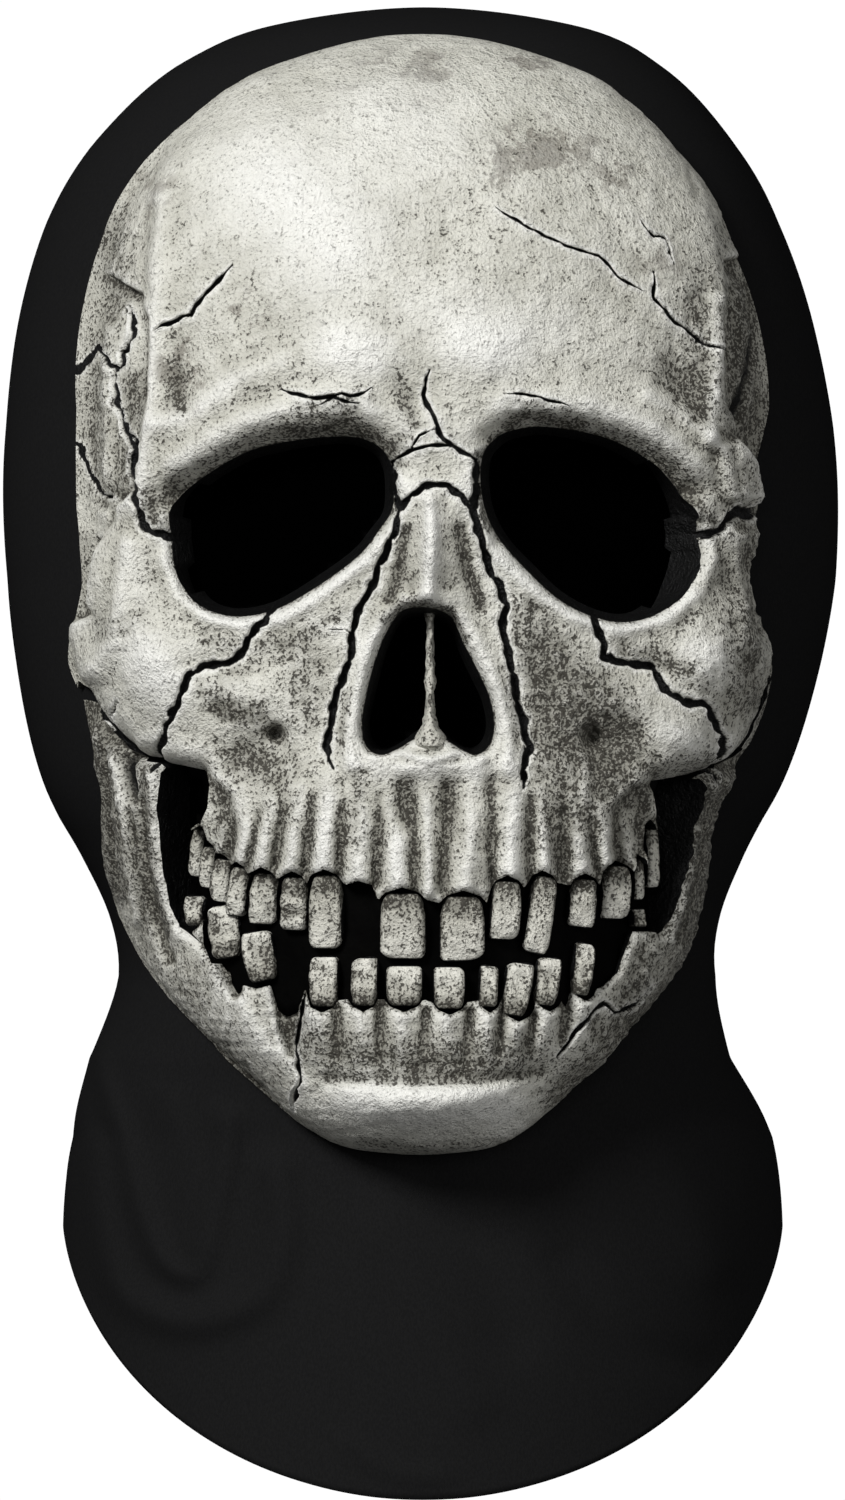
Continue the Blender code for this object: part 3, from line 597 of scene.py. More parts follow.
# Rubbed, pale places and painted highlights.
RUBBED_AND_HIGHLIT = [
    Stroke(0.9, 60, [(270, 180), (330, 240)]),
    Stroke(0.5, 60, [(380, 120), (420, 130)]),
    Stroke(0.9, 28, [(340, 348), (366, 358)]),
    Stroke(0.95, 28, [(466, 342), (500, 352)]),
    Stroke(0.4, 30, [(420, 310), (560, 330)]),
    Stroke(0.35, 12, [(232, 386), (200, 412), (165, 424)]),
    Stroke(0.45, 7, [(713, 390), (712, 440)]),
    Stroke(0.8, 26, [(138, 652), (158, 682)]),
    Stroke(0.4, 14, [(135, 560), (140, 600)]),
    Stroke(0.5, 20, [(694, 650), (714, 662)]),
    Stroke(0.35, 18, [(662, 730), (690, 745)]),
    Stroke(0.6, 10, [(432, 520), (430, 590)]),
    Stroke(0.4, 14, [(310, 620), (370, 640)]),
    Stroke(0.4, 5, [(204, 617), (240, 627), (284, 620), (326, 594), (370, 560)]),
    Stroke(0.3, 5, [(498, 562), (532, 594), (570, 619), (620, 634), (668, 622), (700, 592)]),
    Stroke(0.5, 12, [(355, 760), (380, 772), (480, 772), (505, 762)]),
    Stroke(0.5, 10, [(321, 866), (328, 800)]),
    Stroke(0.5, 10, [(397, 870), (396, 840)]),
    Stroke(0.5, 10, [(511, 866), (514, 800)]),
    Stroke(0.95, 26, [(370, 1098), (430, 1106)]),
    Stroke(0.8, 18, [(462, 1102), (500, 1108)]),
    Stroke(0.5, 30, [(340, 1100), (500, 1110)]),
    Stroke(0.35, 26, [(220, 1010), (260, 1050)]),
]

# Brown-grey stains: centre and half sizes in steps, and strength.
Shade = namedtuple("Shade", "across down half_width half_height strength")
STAINS = [
    Shade(415, 68, 60, 20, 0.9),
    Shade(530, 145, 70, 36, 1.0),
    Shade(495, 165, 30, 30, 0.8),
    Shade(620, 172, 40, 30, 0.6),
    Shade(370, 100, 110, 26, 0.55),
    Shade(300, 150, 60, 50, 0.35),
    Shade(252, 312, 40, 30, 0.7),
    Shade(182, 375, 30, 55, 0.85),
    Shade(540, 60, 50, 20, 0.7),
    Shade(660, 250, 50, 50, 0.5),
    Shade(150, 200, 50, 50, 0.5),
    Shade(640, 340, 50, 60, 0.4),
    Shade(430, 230, 200, 60, 0.2),
    Shade(690, 440, 40, 40, 0.5),
]

# How far the cloth leans sideways at each height.
ClothLean = namedtuple("ClothLean", "height aside")
CLOTH_LEAN = [
    ClothLean(-271.7, 0.2), ClothLean(-252.5, -3.0), ClothLean(-233, -1.2), ClothLean(-214, -1.9),
    ClothLean(-195, -2.6), ClothLean(-175.7, -1.7), ClothLean(-156.5, -0.8), ClothLean(-137, -0.1),
    ClothLean(-99, -0.6), ClothLean(-79.7, -1.4), ClothLean(-51, -2.3), ClothLean(-32, -2.0),
    ClothLean(-12.5, -0.7), ClothLean(-8, 0.1), ClothLean(1.5, 0.6),
]

# Soft folds of the bib, in front.
CLOTH_FOLDS = [
    Ridge(18, 3.4, [
        (92, 1150), (96, 1220), (118, 1290), (166, 1318), (214, 1316), (262, 1290), (282, 1230),
        (276, 1170),
    ]),
    Ridge(13, 3.2, [
        (104, 1050), (120, 1130), (140, 1210), (164, 1262), (196, 1270), (216, 1200), (230, 1120),
    ]),
    Ridge(30, 1.8, [(628, 1080), (676, 1170), (716, 1260)]),
    Ridge(26, -1.8, [(427, 1180), (480, 1260), (513, 1330)]),
    Ridge(24, 1.4, [(380, 1230), (430, 1320), (470, 1400)]),
    Ridge(20, -1.4, [(560, 1260), (620, 1340), (700, 1370)]),
    Ridge(10, 1.0, [(352, 1440), (392, 1470), (440, 1474)]),
    Ridge(16, 1.2, [(170, 1100), (190, 1180), (190, 1240)]),
]

# Rows of points along a crack, in half widths from its middle.
CRACK_OFFSETS = (-1.5, -1.1, -0.6, 0.0, 0.6, 1.1, 1.5)

# Spaces between the bone's points in millimetres: on its grid, whose rows lie nearer, and on outlines.
GRID_STEP = 0.86
ROW_SHARE = 0.866
LINE_STEP = 0.7

# The least space from the grid to cracks and to outlines, and from cracks to outlines.
GRID_TO_CRACK = 0.62
GRID_TO_OUTLINE = 0.5
CRACK_TO_OUTLINE = 0.35

# One crack point is kept of each cell of this size, and all points stay this far from the rim.
CRACK_CELL = 0.22
RIM_MARGIN = 0.4

# Places well outside the mask, in steps.
FAR_LEFT = -400
FAR_RIGHT = 1200
FAR_UP = -400

# How often the seen places are worked out, and smoothed each time.
SEEN_ROUNDS = 5
SEEN_SMOOTHING = 30

# Colours of the bone and the teeth: the pale one for wear and painted highlights, the grey and dark ones
# for dirt and painted shade, and black for cracks and the painted shade in gaps.
BONE_COLOUR = (0.72, 0.71, 0.635, 1)
BONE_PALE = (0.92, 0.915, 0.87, 1)
TOOTH_COLOUR = (0.76, 0.745, 0.66, 1)
TOOTH_PALE = (0.86, 0.85, 0.78, 1)
DIRT_AND_SHADE_MIDDLE = (0.42, 0.41, 0.345, 1)
DIRT_AND_SHADE_DARK = (0.035, 0.031, 0.024, 1)
STAIN_COLOUR = (0.21, 0.19, 0.16, 1)
GAP_BLACK = (0.001, 0.001, 0.001, 1)

# The studio, in metres and watts: each light's place, size and power, and what they all aim at.
Lamp = namedtuple("Lamp", "name place size power")
LAMPS = [
    Lamp("key", (-1.25, -2.0, 1.3), 0.8, 78),
    Lamp("fill", (2.3, -1.9, 0.2), 1.6, 18),
    Lamp("front", (-0.3, -3.0, 0.5), 1.0, 9),
]
AIM = (0, -0.08, -0.14)
WORLD_STRENGTH = 0.12
FLOOR_RADIUS = 11.5
FLOOR_HEIGHT = -1.25
BACKDROP_RADIUS = 40
BACKDROP_TALL = 9
BACKDROP_MIDDLE = 3.2

# The hood's columns and rows of faces.
HOOD_COLUMNS = 220
HOOD_HEAD_ROWS = 124
HOOD_BIB_ROWS = 60


def curve_spans(ends, steps):
    """Points of a curve through all these rows but the outer two, in spans that leave out their ends."""
    t = np.linspace(0, 1, steps, endpoint=False)[:, None]
    spans = []
    for a, b, c, d in zip(ends[:-3], ends[1:-2], ends[2:-1], ends[3:]):
        cubic = (3 * (b - c) + d - a) * t**3
        square = (2 * a - 5 * b + 4 * c - d) * t**2
        spans.append(0.5 * (2 * b + (c - a) * t + square + cubic))
    return spans


def smooth_table(rows, steps=24):
    """A table made fine by a curve through its rows. The first row is a pole that both sides share."""
    table = np.array(rows, float)
    before = table[1] * np.where(np.arange(table.shape[1]) == 0, 1, -1)
    ends = np.vstack([before, table, 2 * table[-1] - table[-2]])
    fine = np.vstack(curve_spans(ends, steps) + [table[-1:]])
    return fine[np.argsort(fine[:, 0])]


HOOD = smooth_table(HOOD_ROWS)
BONE = smooth_table(BONE_ROWS)


def at_height(table, height):
    """The columns of a fine table at these heights."""
    return [np.maximum(np.interp(height, table[:, 0], column), 0) for column in table[:, 1:].T]


def to_mm(places):
    """Front-view places in steps as x and height in millimetres."""
    places = np.asarray(places, float)
    return np.stack([(places[..., 0] - MIDDLE_PX) * PX, (TOP_PX - places[..., 1]) * PX], -1)


def to_steps(x, height):
    """x and height in millimetres as a front-view place in steps."""
    return np.stack([x / PX + MIDDLE_PX, TOP_PX - height / PX], -1)


def smoothstep(low, high, value):
    """A soft change from 0 to 1 between two values."""
    t = np.clip((value - low) / (high - low), 0, 1)
    return t * t * (3 - 2 * t)


def along_line(places, path):
    """Distance from each place to a line of straight runs, and the share of the line gone by there."""
    line = np.asarray(path, float)
    lengths = np.concatenate([[0], np.cumsum(np.hypot(*np.diff(line, axis=0).T))])
    nearest = np.full(len(places), 1e9)
    share = np.zeros(len(places))
    for a, b, before in zip(line[:-1], line[1:], lengths):
        run = b - a
        t = np.clip(((places - a) @ run) / max(run @ run, 1e-9), 0, 1)
        distance = np.hypot(*(places - a - t[:, None] * run).T)
        closer = distance < nearest
        nearest = np.where(closer, distance, nearest)
        share = np.where(closer, (before + t * math.hypot(*run)) / lengths[-1], share)
    return nearest, share


def line_distance(places, path):
    """Distance from each place to a line of straight runs."""
    return along_line(places, path)[0]


def inside(places, outline):
    """Which places are inside a closed outline."""
    x, y = places.T
    odd = np.zeros(len(places), bool)
    loop = np.asarray(outline, float)
    for (ax, ay), (bx, by) in zip(loop, np.roll(loop, -1, 0)):
        crosses = (ay > y) != (by > y)
        with np.errstate(divide="ignore", invalid="ignore"):
            odd ^= crosses & (x < (bx - ax) * (y - ay) / (by - ay) + ax)
    return odd


def smooth_line(points, closed, steps=6):
    """A curve through the points."""
    line = np.asarray(points, float)
    ends = np.vstack([line[-1:], line, line[:2]]) if closed else np.vstack([line[:1], line, line[-1:]])
    return np.vstack(curve_spans(ends, steps) + ([] if closed else [line[-1:]]))


def resampled(line, step):
    """Points along a line at an even step."""
    line = np.asarray(line, float)
    lengths = np.concatenate([[0], np.cumsum(np.hypot(*np.diff(line, axis=0).T))])
    count = max(int(round(lengths[-1] / step)), 1)
    where = np.linspace(0, lengths[-1], count + 1)
    return np.stack([np.interp(where, lengths, column) for column in line.T], -1)


def jagged(path, seed, reach):
    """A crack's line made uneven."""
    rng = np.random.default_rng(seed)
    line = resampled(path, 8)
    line[1:-1] += rng.normal(0, reach, (len(line) - 2, 2))
    return line


CRACK_LINES = [(c.width, jagged(c.path, n, 0.4 + 0.12 * c.width)) for n, c in enumerate(CRACKS)]


def gum_line(teeth, upper):
    """The scalloped edge of the bone over or under a row of teeth."""
    way = -1 if upper else 1
    line = []
    for tooth in teeth:
        neck = tooth.top if upper else tooth.bottom
        half = (tooth.right - tooth.left) / 2
        middle = (tooth.right + tooth.left) / 2
        for share, back in ((-1.0, GUM_TIP), (-0.72, 0.0), (0.0, -GUM_GAP), (0.72, 0.0), (1.0, GUM_TIP)):
            line.append((middle + share * (half + 1.5), neck - way * back))
    return line


def ordered(line):
    """A line whose places keep going to the right."""
    kept = [line[0]]
    for place in line[1:]:
        if place[0] > kept[-1][0] + 1.0:
            kept.append(place)
    return kept


UPPER_GUM = ordered(
    gum_line(UPPER_TEETH[:7], True)
    + [(346, 884), (358, 880), (372, 884)]
    + gum_line(UPPER_TEETH[7:], True)
)
LOWER_GUM = ordered(
    gum_line(LOWER_TEETH[:1], False)
    + [(204, 946), (212, 963), (230, 964), (238, 992), (243, 984), (257, 988), (271, 984)]
    + [(274, 994), (286, 1006), (300, 1000), (306, 988)]
    + gum_line(LOWER_TEETH[3:11], False)
    + [(603, 986), (618, 972), (626, 950), (634, 931), (649, 931)]
)
FACE_EDGE = LEFT_CHEEK + LEFT_CORNER + UPPER_GUM[1:] + RIGHT_CORNER[::-1] + RIGHT_CHEEK[::-1]
JAW_EDGE = (
    [(x, y + CHEEK_SEAM) for x, y in LEFT_CHEEK[:9]]
    + LEFT_RAMUS
    + LOWER_GUM[2:]
    + RIGHT_RAMUS
    + [(x, y + CHEEK_SEAM) for x, y in RIGHT_CHEEK[:-2][::-1]]
)
HOLES = [smooth_line(hole, True, 4) for hole in (LEFT_SOCKET, RIGHT_SOCKET, NOSE)]
# The mouth's outline, behind which the cloth is painted dark as shade.
MOUTH = [
    (164, 770), (203, 775), (208, 800), (232, 880), (430, 905), (640, 875), (658, 785), (706, 780),
    (690, 860), (660, 932), (600, 1000), (430, 1006), (300, 998), (230, 960), (182, 925), (160, 850),
]


def wobble(x, y, z, size, seed):
    """Smooth unevenness between about -1 and 1."""
    rng = np.random.default_rng(seed)
    total = np.zeros(np.shape(x))
    for _ in range(10):
        way = rng.normal(size=3)
        way *= 2 * math.pi / (size * rng.uniform(0.7, 1.5)) / np.linalg.norm(way)
        total += np.sin(way[0] * x + way[1] * y + way[2] * z + rng.uniform(0, 7))
    return total / 3.2


def signed_distance(places, outline):
    """Distance to a closed outline, above 0 inside."""
    loop = np.vstack([outline, outline[:1]])
    distance = line_distance(places, loop)
    return np.where(inside(places, outline), distance, -distance)


def crack_depth(places):
    """How deep in a crack each place lies, from 0 to 1, and how near it is to one."""
    depth = np.zeros(len(places))
    near = np.zeros(len(places))
    for number, (width, line) in enumerate(CRACK_LINES):
        distance, gone = along_line(places, line)
        length = np.hypot(*np.diff(line, axis=0).T).sum()
        run = gone * length
        uneven = 1 + 0.22 * np.sin(run / 5.3 + number) + 0.16 * np.sin(run / 2.3 + 3 * number)
        pointed = 0.35 + 0.65 * smoothstep(0, 16, np.minimum(run, length - run))
        half = width / 2 * uneven * pointed
        depth = np.maximum(depth, 1 - smoothstep(0.5, 1.2, distance / half))
        near = np.maximum(near, 1 - smoothstep(half, half + 3, distance))
    return depth, near


def bumps_at(places, share=1.0):
    """This share of the rise of the broad forms."""
    rise = np.zeros(len(places))
    for b in BUMPS:
        far = ((places - (b.across, b.down)) / (b.half_width, b.half_height)) ** 2
        rise += share * b.rise * np.exp(-far.sum(1))
    return rise


def bone_forms(places):
    """The rise of the bone's forms over its plain form, in millimetres."""
    rise = bumps_at(places)
    for ridge in RIDGES + [root._replace(fade=ROOT_FADE) for root in ROOTS]:
        distance, share = along_line(places, ridge.path)
        rise += ridge.rise * (1 - ridge.fade * share) * np.exp(-((distance / ridge.half_width) ** 2))
    for step in STEPS:
        depth_in = signed_distance(places, np.array(step.outline, float))
        rise -= step.drop * smoothstep(-step.blend, step.blend * 0.4, depth_in)
    fall = np.zeros(len(places))
    for lip in LIPS:
        near = np.clip(1 - line_distance(places, smooth_line(lip.path, False, 4)) / lip.width, 0, 1)
        fall = np.maximum(fall, lip.depth * near**2)
    for edge in (UPPER_GUM, LOWER_GUM):
        near = np.clip(1 - line_distance(places, edge) / 6, 0, 1)
        fall = np.maximum(fall, 1.1 * near**2)
    return rise - fall


def brushed(places, strokes):
    """How strongly brush strokes cover each place."""
    cover = np.zeros(len(places))
    for stroke in strokes:
        distance, share = along_line(places, stroke.path)
        brush = (1 - stroke.fade * share) * np.exp(-((distance / stroke.half_width) ** 2))
        cover = 1 - (1 - cover) * (1 - stroke.strength * brush)
    return cover


def black_gap_shade(places):
    """Painted shade: how black each place is in the gaps between the bones."""
    black = np.zeros(len(places))
    for step in STEPS:
        if step.paint == 1.0:
            outline = np.array(step.outline, float)
            black = np.maximum(black, smoothstep(-2, 3, signed_distance(places, outline)))
    return black


def painted_grime_and_shade(places):
    """How much grime and painted shade each place has."""
    # Painted shadows under the edges of the cheekbones, on the jaw's side.
    under = [Stroke(0.9, 7, [(x, y + 10) for x, y in cheek[3:]]) for cheek in (LEFT_CHEEK, RIGHT_CHEEK)]
    # Brushed grime and painted shade, and at least a little everywhere, more towards the bottom.
    grime_and_shade = np.maximum(brushed(places, GRIME_AND_SHADE + under), 0.1 + 0.1 * smoothstep(700, 800, places[:, 1]))
    # Painted shade in the recessed places, as dark as each step's paint.
    for step in STEPS:
        outline = np.array(step.outline, float)
        grime_and_shade = np.maximum(grime_and_shade, step.paint * smoothstep(-4, 4, signed_distance(places, outline)))
    # Painted shade along the gum edges and round the holes.
    for edge in (UPPER_GUM, LOWER_GUM):
        grime_and_shade = np.maximum(grime_and_shade, 0.8 * np.exp(-((line_distance(places, edge) / 4) ** 2)))
    for hole in HOLES:
        around = np.vstack([hole, hole[:1]])
        grime_and_shade = np.maximum(grime_and_shade, 0.85 * np.exp(-((line_distance(places, around) / 3) ** 2)))
    return grime_and_shade


def stained(places):
    """How strongly each place is stained."""
    stain = np.zeros(len(places))
    for s in STAINS:
        far = ((places - (s.across, s.down)) / (s.half_width, s.half_height)) ** 2
        stain = np.maximum(stain, s.strength * np.exp(-far.sum(1)))
    return stain


def bone_base(turn, height):
    """The plain form: x and y at an angle from the face's middle, 90 degrees at the rim."""
    half_width, stand_off = at_height(BONE, height)
    heights, left, right = np.array(RIM_SHIFTS).T
    shift = np.where(turn < 0, np.interp(height, heights, left), np.interp(height, heights, right))
    half_width = np.maximum(half_width + shift, 0.2 * half_width)
    hood_width, hood_front, _ = at_height(HOOD, height)
    rim = -hood_front * np.sqrt(np.maximum(1 - (half_width / hood_width) ** 2, 0))
    depth = hood_front + stand_off + rim
    return half_width * np.sin(turn), rim - depth * np.cos(turn)


def bone_point(turn, height, rise):
    """A point at this rise above the plain form: straight forward in the middle, outward at the rim."""
    x, y = bone_base(turn, height)
    swing = turn * smoothstep(math.radians(30), math.radians(80), np.abs(turn))
    return np.stack([x + rise * np.sin(swing), y - rise * np.cos(swing), height], -1)


def turn_seen_at(x, height, rise):
    """The angle at which a point at this rise is seen at this x, found by halving."""
    low, high = np.full(np.shape(x), -math.pi / 2), np.full(np.shape(x), math.pi / 2)
    for _ in range(26):
        middle = (low + high) / 2
        left = bone_point(middle, height, rise)[..., 0] < x
        low, high = np.where(left, middle, low), np.where(left, high, middle)
    return high


def hood_outside(x, y, height):
    """Below 0 inside the cloth, and above 0 outside it."""
    half_width, front, _ = at_height(HOOD, height)
    lean = np.interp(height, *np.array(CLOTH_LEAN).T)
    return ((x - lean) / half_width) ** 2 + (y / front) ** 2 - 1


def cloth_rise(turn, height):
    """The rise at which a point of the bone would touch the cloth, found by halving."""
    low, high = np.full(np.shape(turn), -60.0), np.full(np.shape(turn), 12.0)
    for _ in range(24):
        middle = (low + high) / 2
        x, y, _ = bone_point(turn, height, middle).T
        within = hood_outside(x, y, height) < 0
        low, high = np.where(within, middle, low), np.where(within, high, middle)
    return high


class Unrolled:
    """The bone's plain form laid flat: distance from the middle line, and distance down it."""

    def __init__(self):
        rows = BONE[::-1]
        self.heights = rows[:, 0]
        self.down = np.concatenate([[0], np.cumsum(np.hypot(*np.diff(rows[:, :2], axis=0).T))])
        self.wide = rows[:, 1] * math.pi / 2

    def turn_height(self, flat):
        """The angle and height of flat points."""
        height = np.interp(flat[:, 1], self.down, self.heights)
        half_width, _ = at_height(BONE, height)
        return np.clip(flat[:, 0] / np.maximum(half_width, 1e-6), -math.pi / 2, math.pi / 2), height

    def steps(self, flat):
        """Where flat points are seen from in front."""
        turn, height = self.turn_height(flat)
        return to_steps(bone_point(turn, height, SEEN_RISE)[:, 0], height)

    def flat(self, places, rise=SEEN_RISE):
        """The flat points that are seen at these places."""
        x, height = to_mm(places).T
        half_width, _ = at_height(BONE, height)
        turn = turn_seen_at(x, height, rise)
        return np.stack([turn * half_width, np.interp(-height, -self.heights, self.down)], -1)

    def within(self, flat, margin=0.0):
        """Which flat points are on the sheet, at least this far from its sides."""
        reach = np.interp(flat[:, 1], self.down, self.wide)
        return (np.abs(flat[:, 0]) < reach - margin) & (flat[:, 1] > 0) & (flat[:, 1] < self.down[-1])

    def rim(self, step):
        """The sheet's outer edge."""
        right = resampled(np.stack([self.wide, self.down], -1), step)
        return np.vstack([right, right[::-1][1:-1] * (-1, 1)])


FLAT = Unrolled()


def crack_points(lines):
    """Rows of flat points along the middle and both sides of each crack."""
    rows = []
    for width, line in lines:
        fine = resampled(line, LINE_STEP / PX)
        ahead = np.gradient(fine, axis=0)
        side = np.stack([-ahead[:, 1], ahead[:, 0]], -1) / np.hypot(*ahead.T)[:, None]
        rise = SEEN_RISE + bumps_at(fine, 0.75)
        for offset in CRACK_OFFSETS:
            rows.append(FLAT.flat(fine + side * offset * width / 2, rise))
    return np.vstack(rows)


def grid_points():
    """Flat points all over the sheet, each row half a step aside from the last."""
    reach = FLAT.wide.max()
    rows = []
    for row in range(int(FLAT.down[-1] / (GRID_STEP * ROW_SHARE))):
        across = np.arange(-reach, reach, GRID_STEP) + (row % 2) * GRID_STEP / 2
        rows.append(np.stack([across, np.full(len(across), row * GRID_STEP * ROW_SHARE)], -1))
    grid = np.vstack(rows)
    return grid[FLAT.within(grid, RIM_MARGIN)]


def outline_edges(outlines):
    """The sides of all outlines, whose points are numbered one outline after another."""
    edges = []
    start = 0
    for outline, closed in outlines:
        end = start + len(outline)
        edges += [(i, i + 1) for i in range(start, end - 1)]
        if closed:
            edges.append((end - 1, start))
        start = end
    return edges


def bone_mesh(name, edge, keep_above, holes, lines):
    """A bone sheet over the front, cut to an edge and with holes, fine enough for its cracks."""
    around = [(FAR_RIGHT, edge[-1][1]), (FAR_RIGHT, FAR_UP), (FAR_LEFT, FAR_UP), (FAR_LEFT, edge[0][1])]
    region = np.vstack([edge, around])
    outlines = [(FLAT.rim(GRID_STEP), True)]
    for hole in holes:
        fine = resampled(np.vstack([hole, hole[:1]]), LINE_STEP / PX)[:-1]
        outlines.append((FLAT.flat(fine), True))
    cut = resampled(edge, LINE_STEP / PX)
    x, height = to_mm(cut).T
    on_bone = np.abs(turn_seen_at(x, height, SEEN_RISE)) < math.pi / 2 - 0.001
    outlines.append((FLAT.flat(cut[on_bone]), False))

    border = np.vstack([outline for outline, _ in outlines])
    free = crack_points(lines)
    grid = far_from(far_from(grid_points(), free, GRID_TO_CRACK), border, GRID_TO_OUTLINE)
    free = free[FLAT.within(free, RIM_MARGIN)]
    free = far_from(thinned(free, CRACK_CELL), border, CRACK_TO_OUTLINE)
    points = np.vstack([border, free, grid])
    ok = inside(FLAT.steps(points), region) == keep_above
    ok[: len(border)] = True
    shift = np.cumsum(ok) - 1
    edges = [(int(shift[a]), int(shift[b])) for a, b in outline_edges(outlines)]
    made = delaunay_2d_cdt([Vector(p) for p in points[ok]], edges, [], 0, 1e-4, False)
    flat = np.array([tuple(v) for v in made[0]])
    faces = np.array(made[2])
    middle = flat[faces].mean(1)
    places = FLAT.steps(middle)
    good = FLAT.within(middle) & (inside(places, region) == keep_above)
    for hole in holes:
        good &= ~inside(places, hole)
    used, faces = np.unique(faces[good], return_inverse=True)
    return bone_object(name, flat[used], faces.reshape(-1, 3))


def cells(points, size):
    """The cell of an even grid that each point lies in, for quick tests of nearness."""
    return np.floor(points / size).astype(np.int64)


def far_from(points, others, distance):
    """The points that no other lies nearer to than this distance."""
    table = {}
    for number, (a, b) in enumerate(cells(others, distance)):
        table.setdefault((a, b), []).append(number)
    keep = np.ones(len(points), bool)
    for number, (a, b) in enumerate(cells(points, distance)):
        close = [n for i in (-1, 0, 1) for j in (-1, 0, 1) for n in table.get((a + i, b + j), ())]
        if close and np.hypot(*(others[close] - points[number]).T).min() < distance:
            keep[number] = False
    return points[keep]


def thinned(points, distance):
    """One point of each small cell."""
    _, first = np.unique(cells(points, distance), axis=0, return_index=True)
    return points[np.sort(first)]


def neighbour_mean(values, edges, count):
    """The mean of each vertex's neighbours."""
    total = np.zeros_like(values)
    for column in range(values.shape[1]):
        total[:, column] = np.bincount(edges[:, 0], values[edges[:, 1], column], count)
        total[:, column] += np.bincount(edges[:, 1], values[edges[:, 0], column], count)
    number = np.bincount(edges[:, 0], minlength=count) + np.bincount(edges[:, 1], minlength=count)
    return total / np.maximum(number, 1)[:, None]


def hollow_share(points, normals, edges, rounds, full):
    """How far each vertex lies in a hollow of the surface: 1 in a hollow, -1 on a crest."""
    smooth = points.copy()
    for _ in range(rounds):
        smooth = (smooth + neighbour_mean(smooth, edges, len(points))) / 2
    return np.clip(((smooth - points) * normals).sum(1) / full, -1, 1)


def placed(name, data):
    """An object with this data, in the scene."""
    made = bpy.data.objects.new(name, data)
    bpy.context.scene.collection.objects.link(made)
    return made


def write_values(mesh, columns):
    """Named numbers at the mesh's vertices, which the materials read."""
    for label, values in columns.items():
        attribute = mesh.attributes.new(label, "FLOAT", "POINT")
        attribute.data.foreach_set("value", values.astype(np.float32))


def seen_places(flat, turn, height, lowest, edges):
    """Where the points of the raised bone are seen from in front, in steps, found round by round."""
    plain = FLAT.steps(flat)
    aside = np.zeros((len(flat), 1))
    for _ in range(SEEN_ROUNDS):
        rise = np.maximum(lowest, BONE_RISE + bone_forms(plain + aside * (1, 0)))
        seen = to_steps(bone_point(turn, height, rise)[:, 0], height)
        aside = (aside + (seen - plain)[:, :1]) / 2
        for _ in range(SEEN_SMOOTHING):
            aside = (aside + neighbour_mean(aside, edges, len(aside))) / 2
    return plain + aside * (1, 0)


def facing_front(points, faces):
    """The faces turned to the front, and the points' normals."""
    a, b, c = points[faces[:, 0]], points[faces[:, 1]], points[faces[:, 2]]
    face_normals = np.cross(b - a, c - a)
    if face_normals[:, 1].sum() > 0:
        faces = faces[:, ::-1]
        face_normals = -face_normals
    normals = np.zeros_like(points)
    for corner in range(3):
        for axis in range(3):
            normals[:, axis] += np.bincount(faces[:, corner], face_normals[:, axis], len(points))
    return faces, normals / np.maximum(np.linalg.norm(normals, axis=1), 1e-9)[:, None]


def pull_to_holes(places):
    """The way from each place on a hole's edge to that hole's middle, and 0 elsewhere."""
    towards = np.zeros((len(places), 2))
    for hole in HOLES:
        close = line_distance(places, np.vstack([hole, hole[:1]])) < 1.0
        way = hole.mean(0) - places
        towards[close] = (way / np.hypot(*way.T)[:, None])[close]
    return towards


def wall_rows(turn, height, rise, floor, outer, towards):
    """The rows of points that go from the bone's edges down to the cloth."""
    inner_rise = np.maximum(floor + OVER_CLOTH, rise - np.where(outer, RIM_WALL, HOLE_WALL))
    rows = []
    for share, pull in WALL_ROWS:
        row = bone_point(turn, height, rise + (inner_rise - rise) * share)
        row[:, 0] += towards[:, 0] * pull
        row[:, 2] -= towards[:, 1] * pull
        rows.append(row)
    return rows


def wall_faces(rim, rim_sides, count):
    """The quads between the rows of a wall, whose points come after this many others."""
    spot = {int(v): i for i, v in enumerate(rim)}
    quads = []
    for start, end in rim_sides:
        s, e = spot[int(start)], spot[int(end)]
        for row in range(len(WALL_ROWS) - 1):
            above = count + row * len(rim)
            below = above + len(rim)
            quads.append((above + s, below + s, below + e, above + e))
    return quads


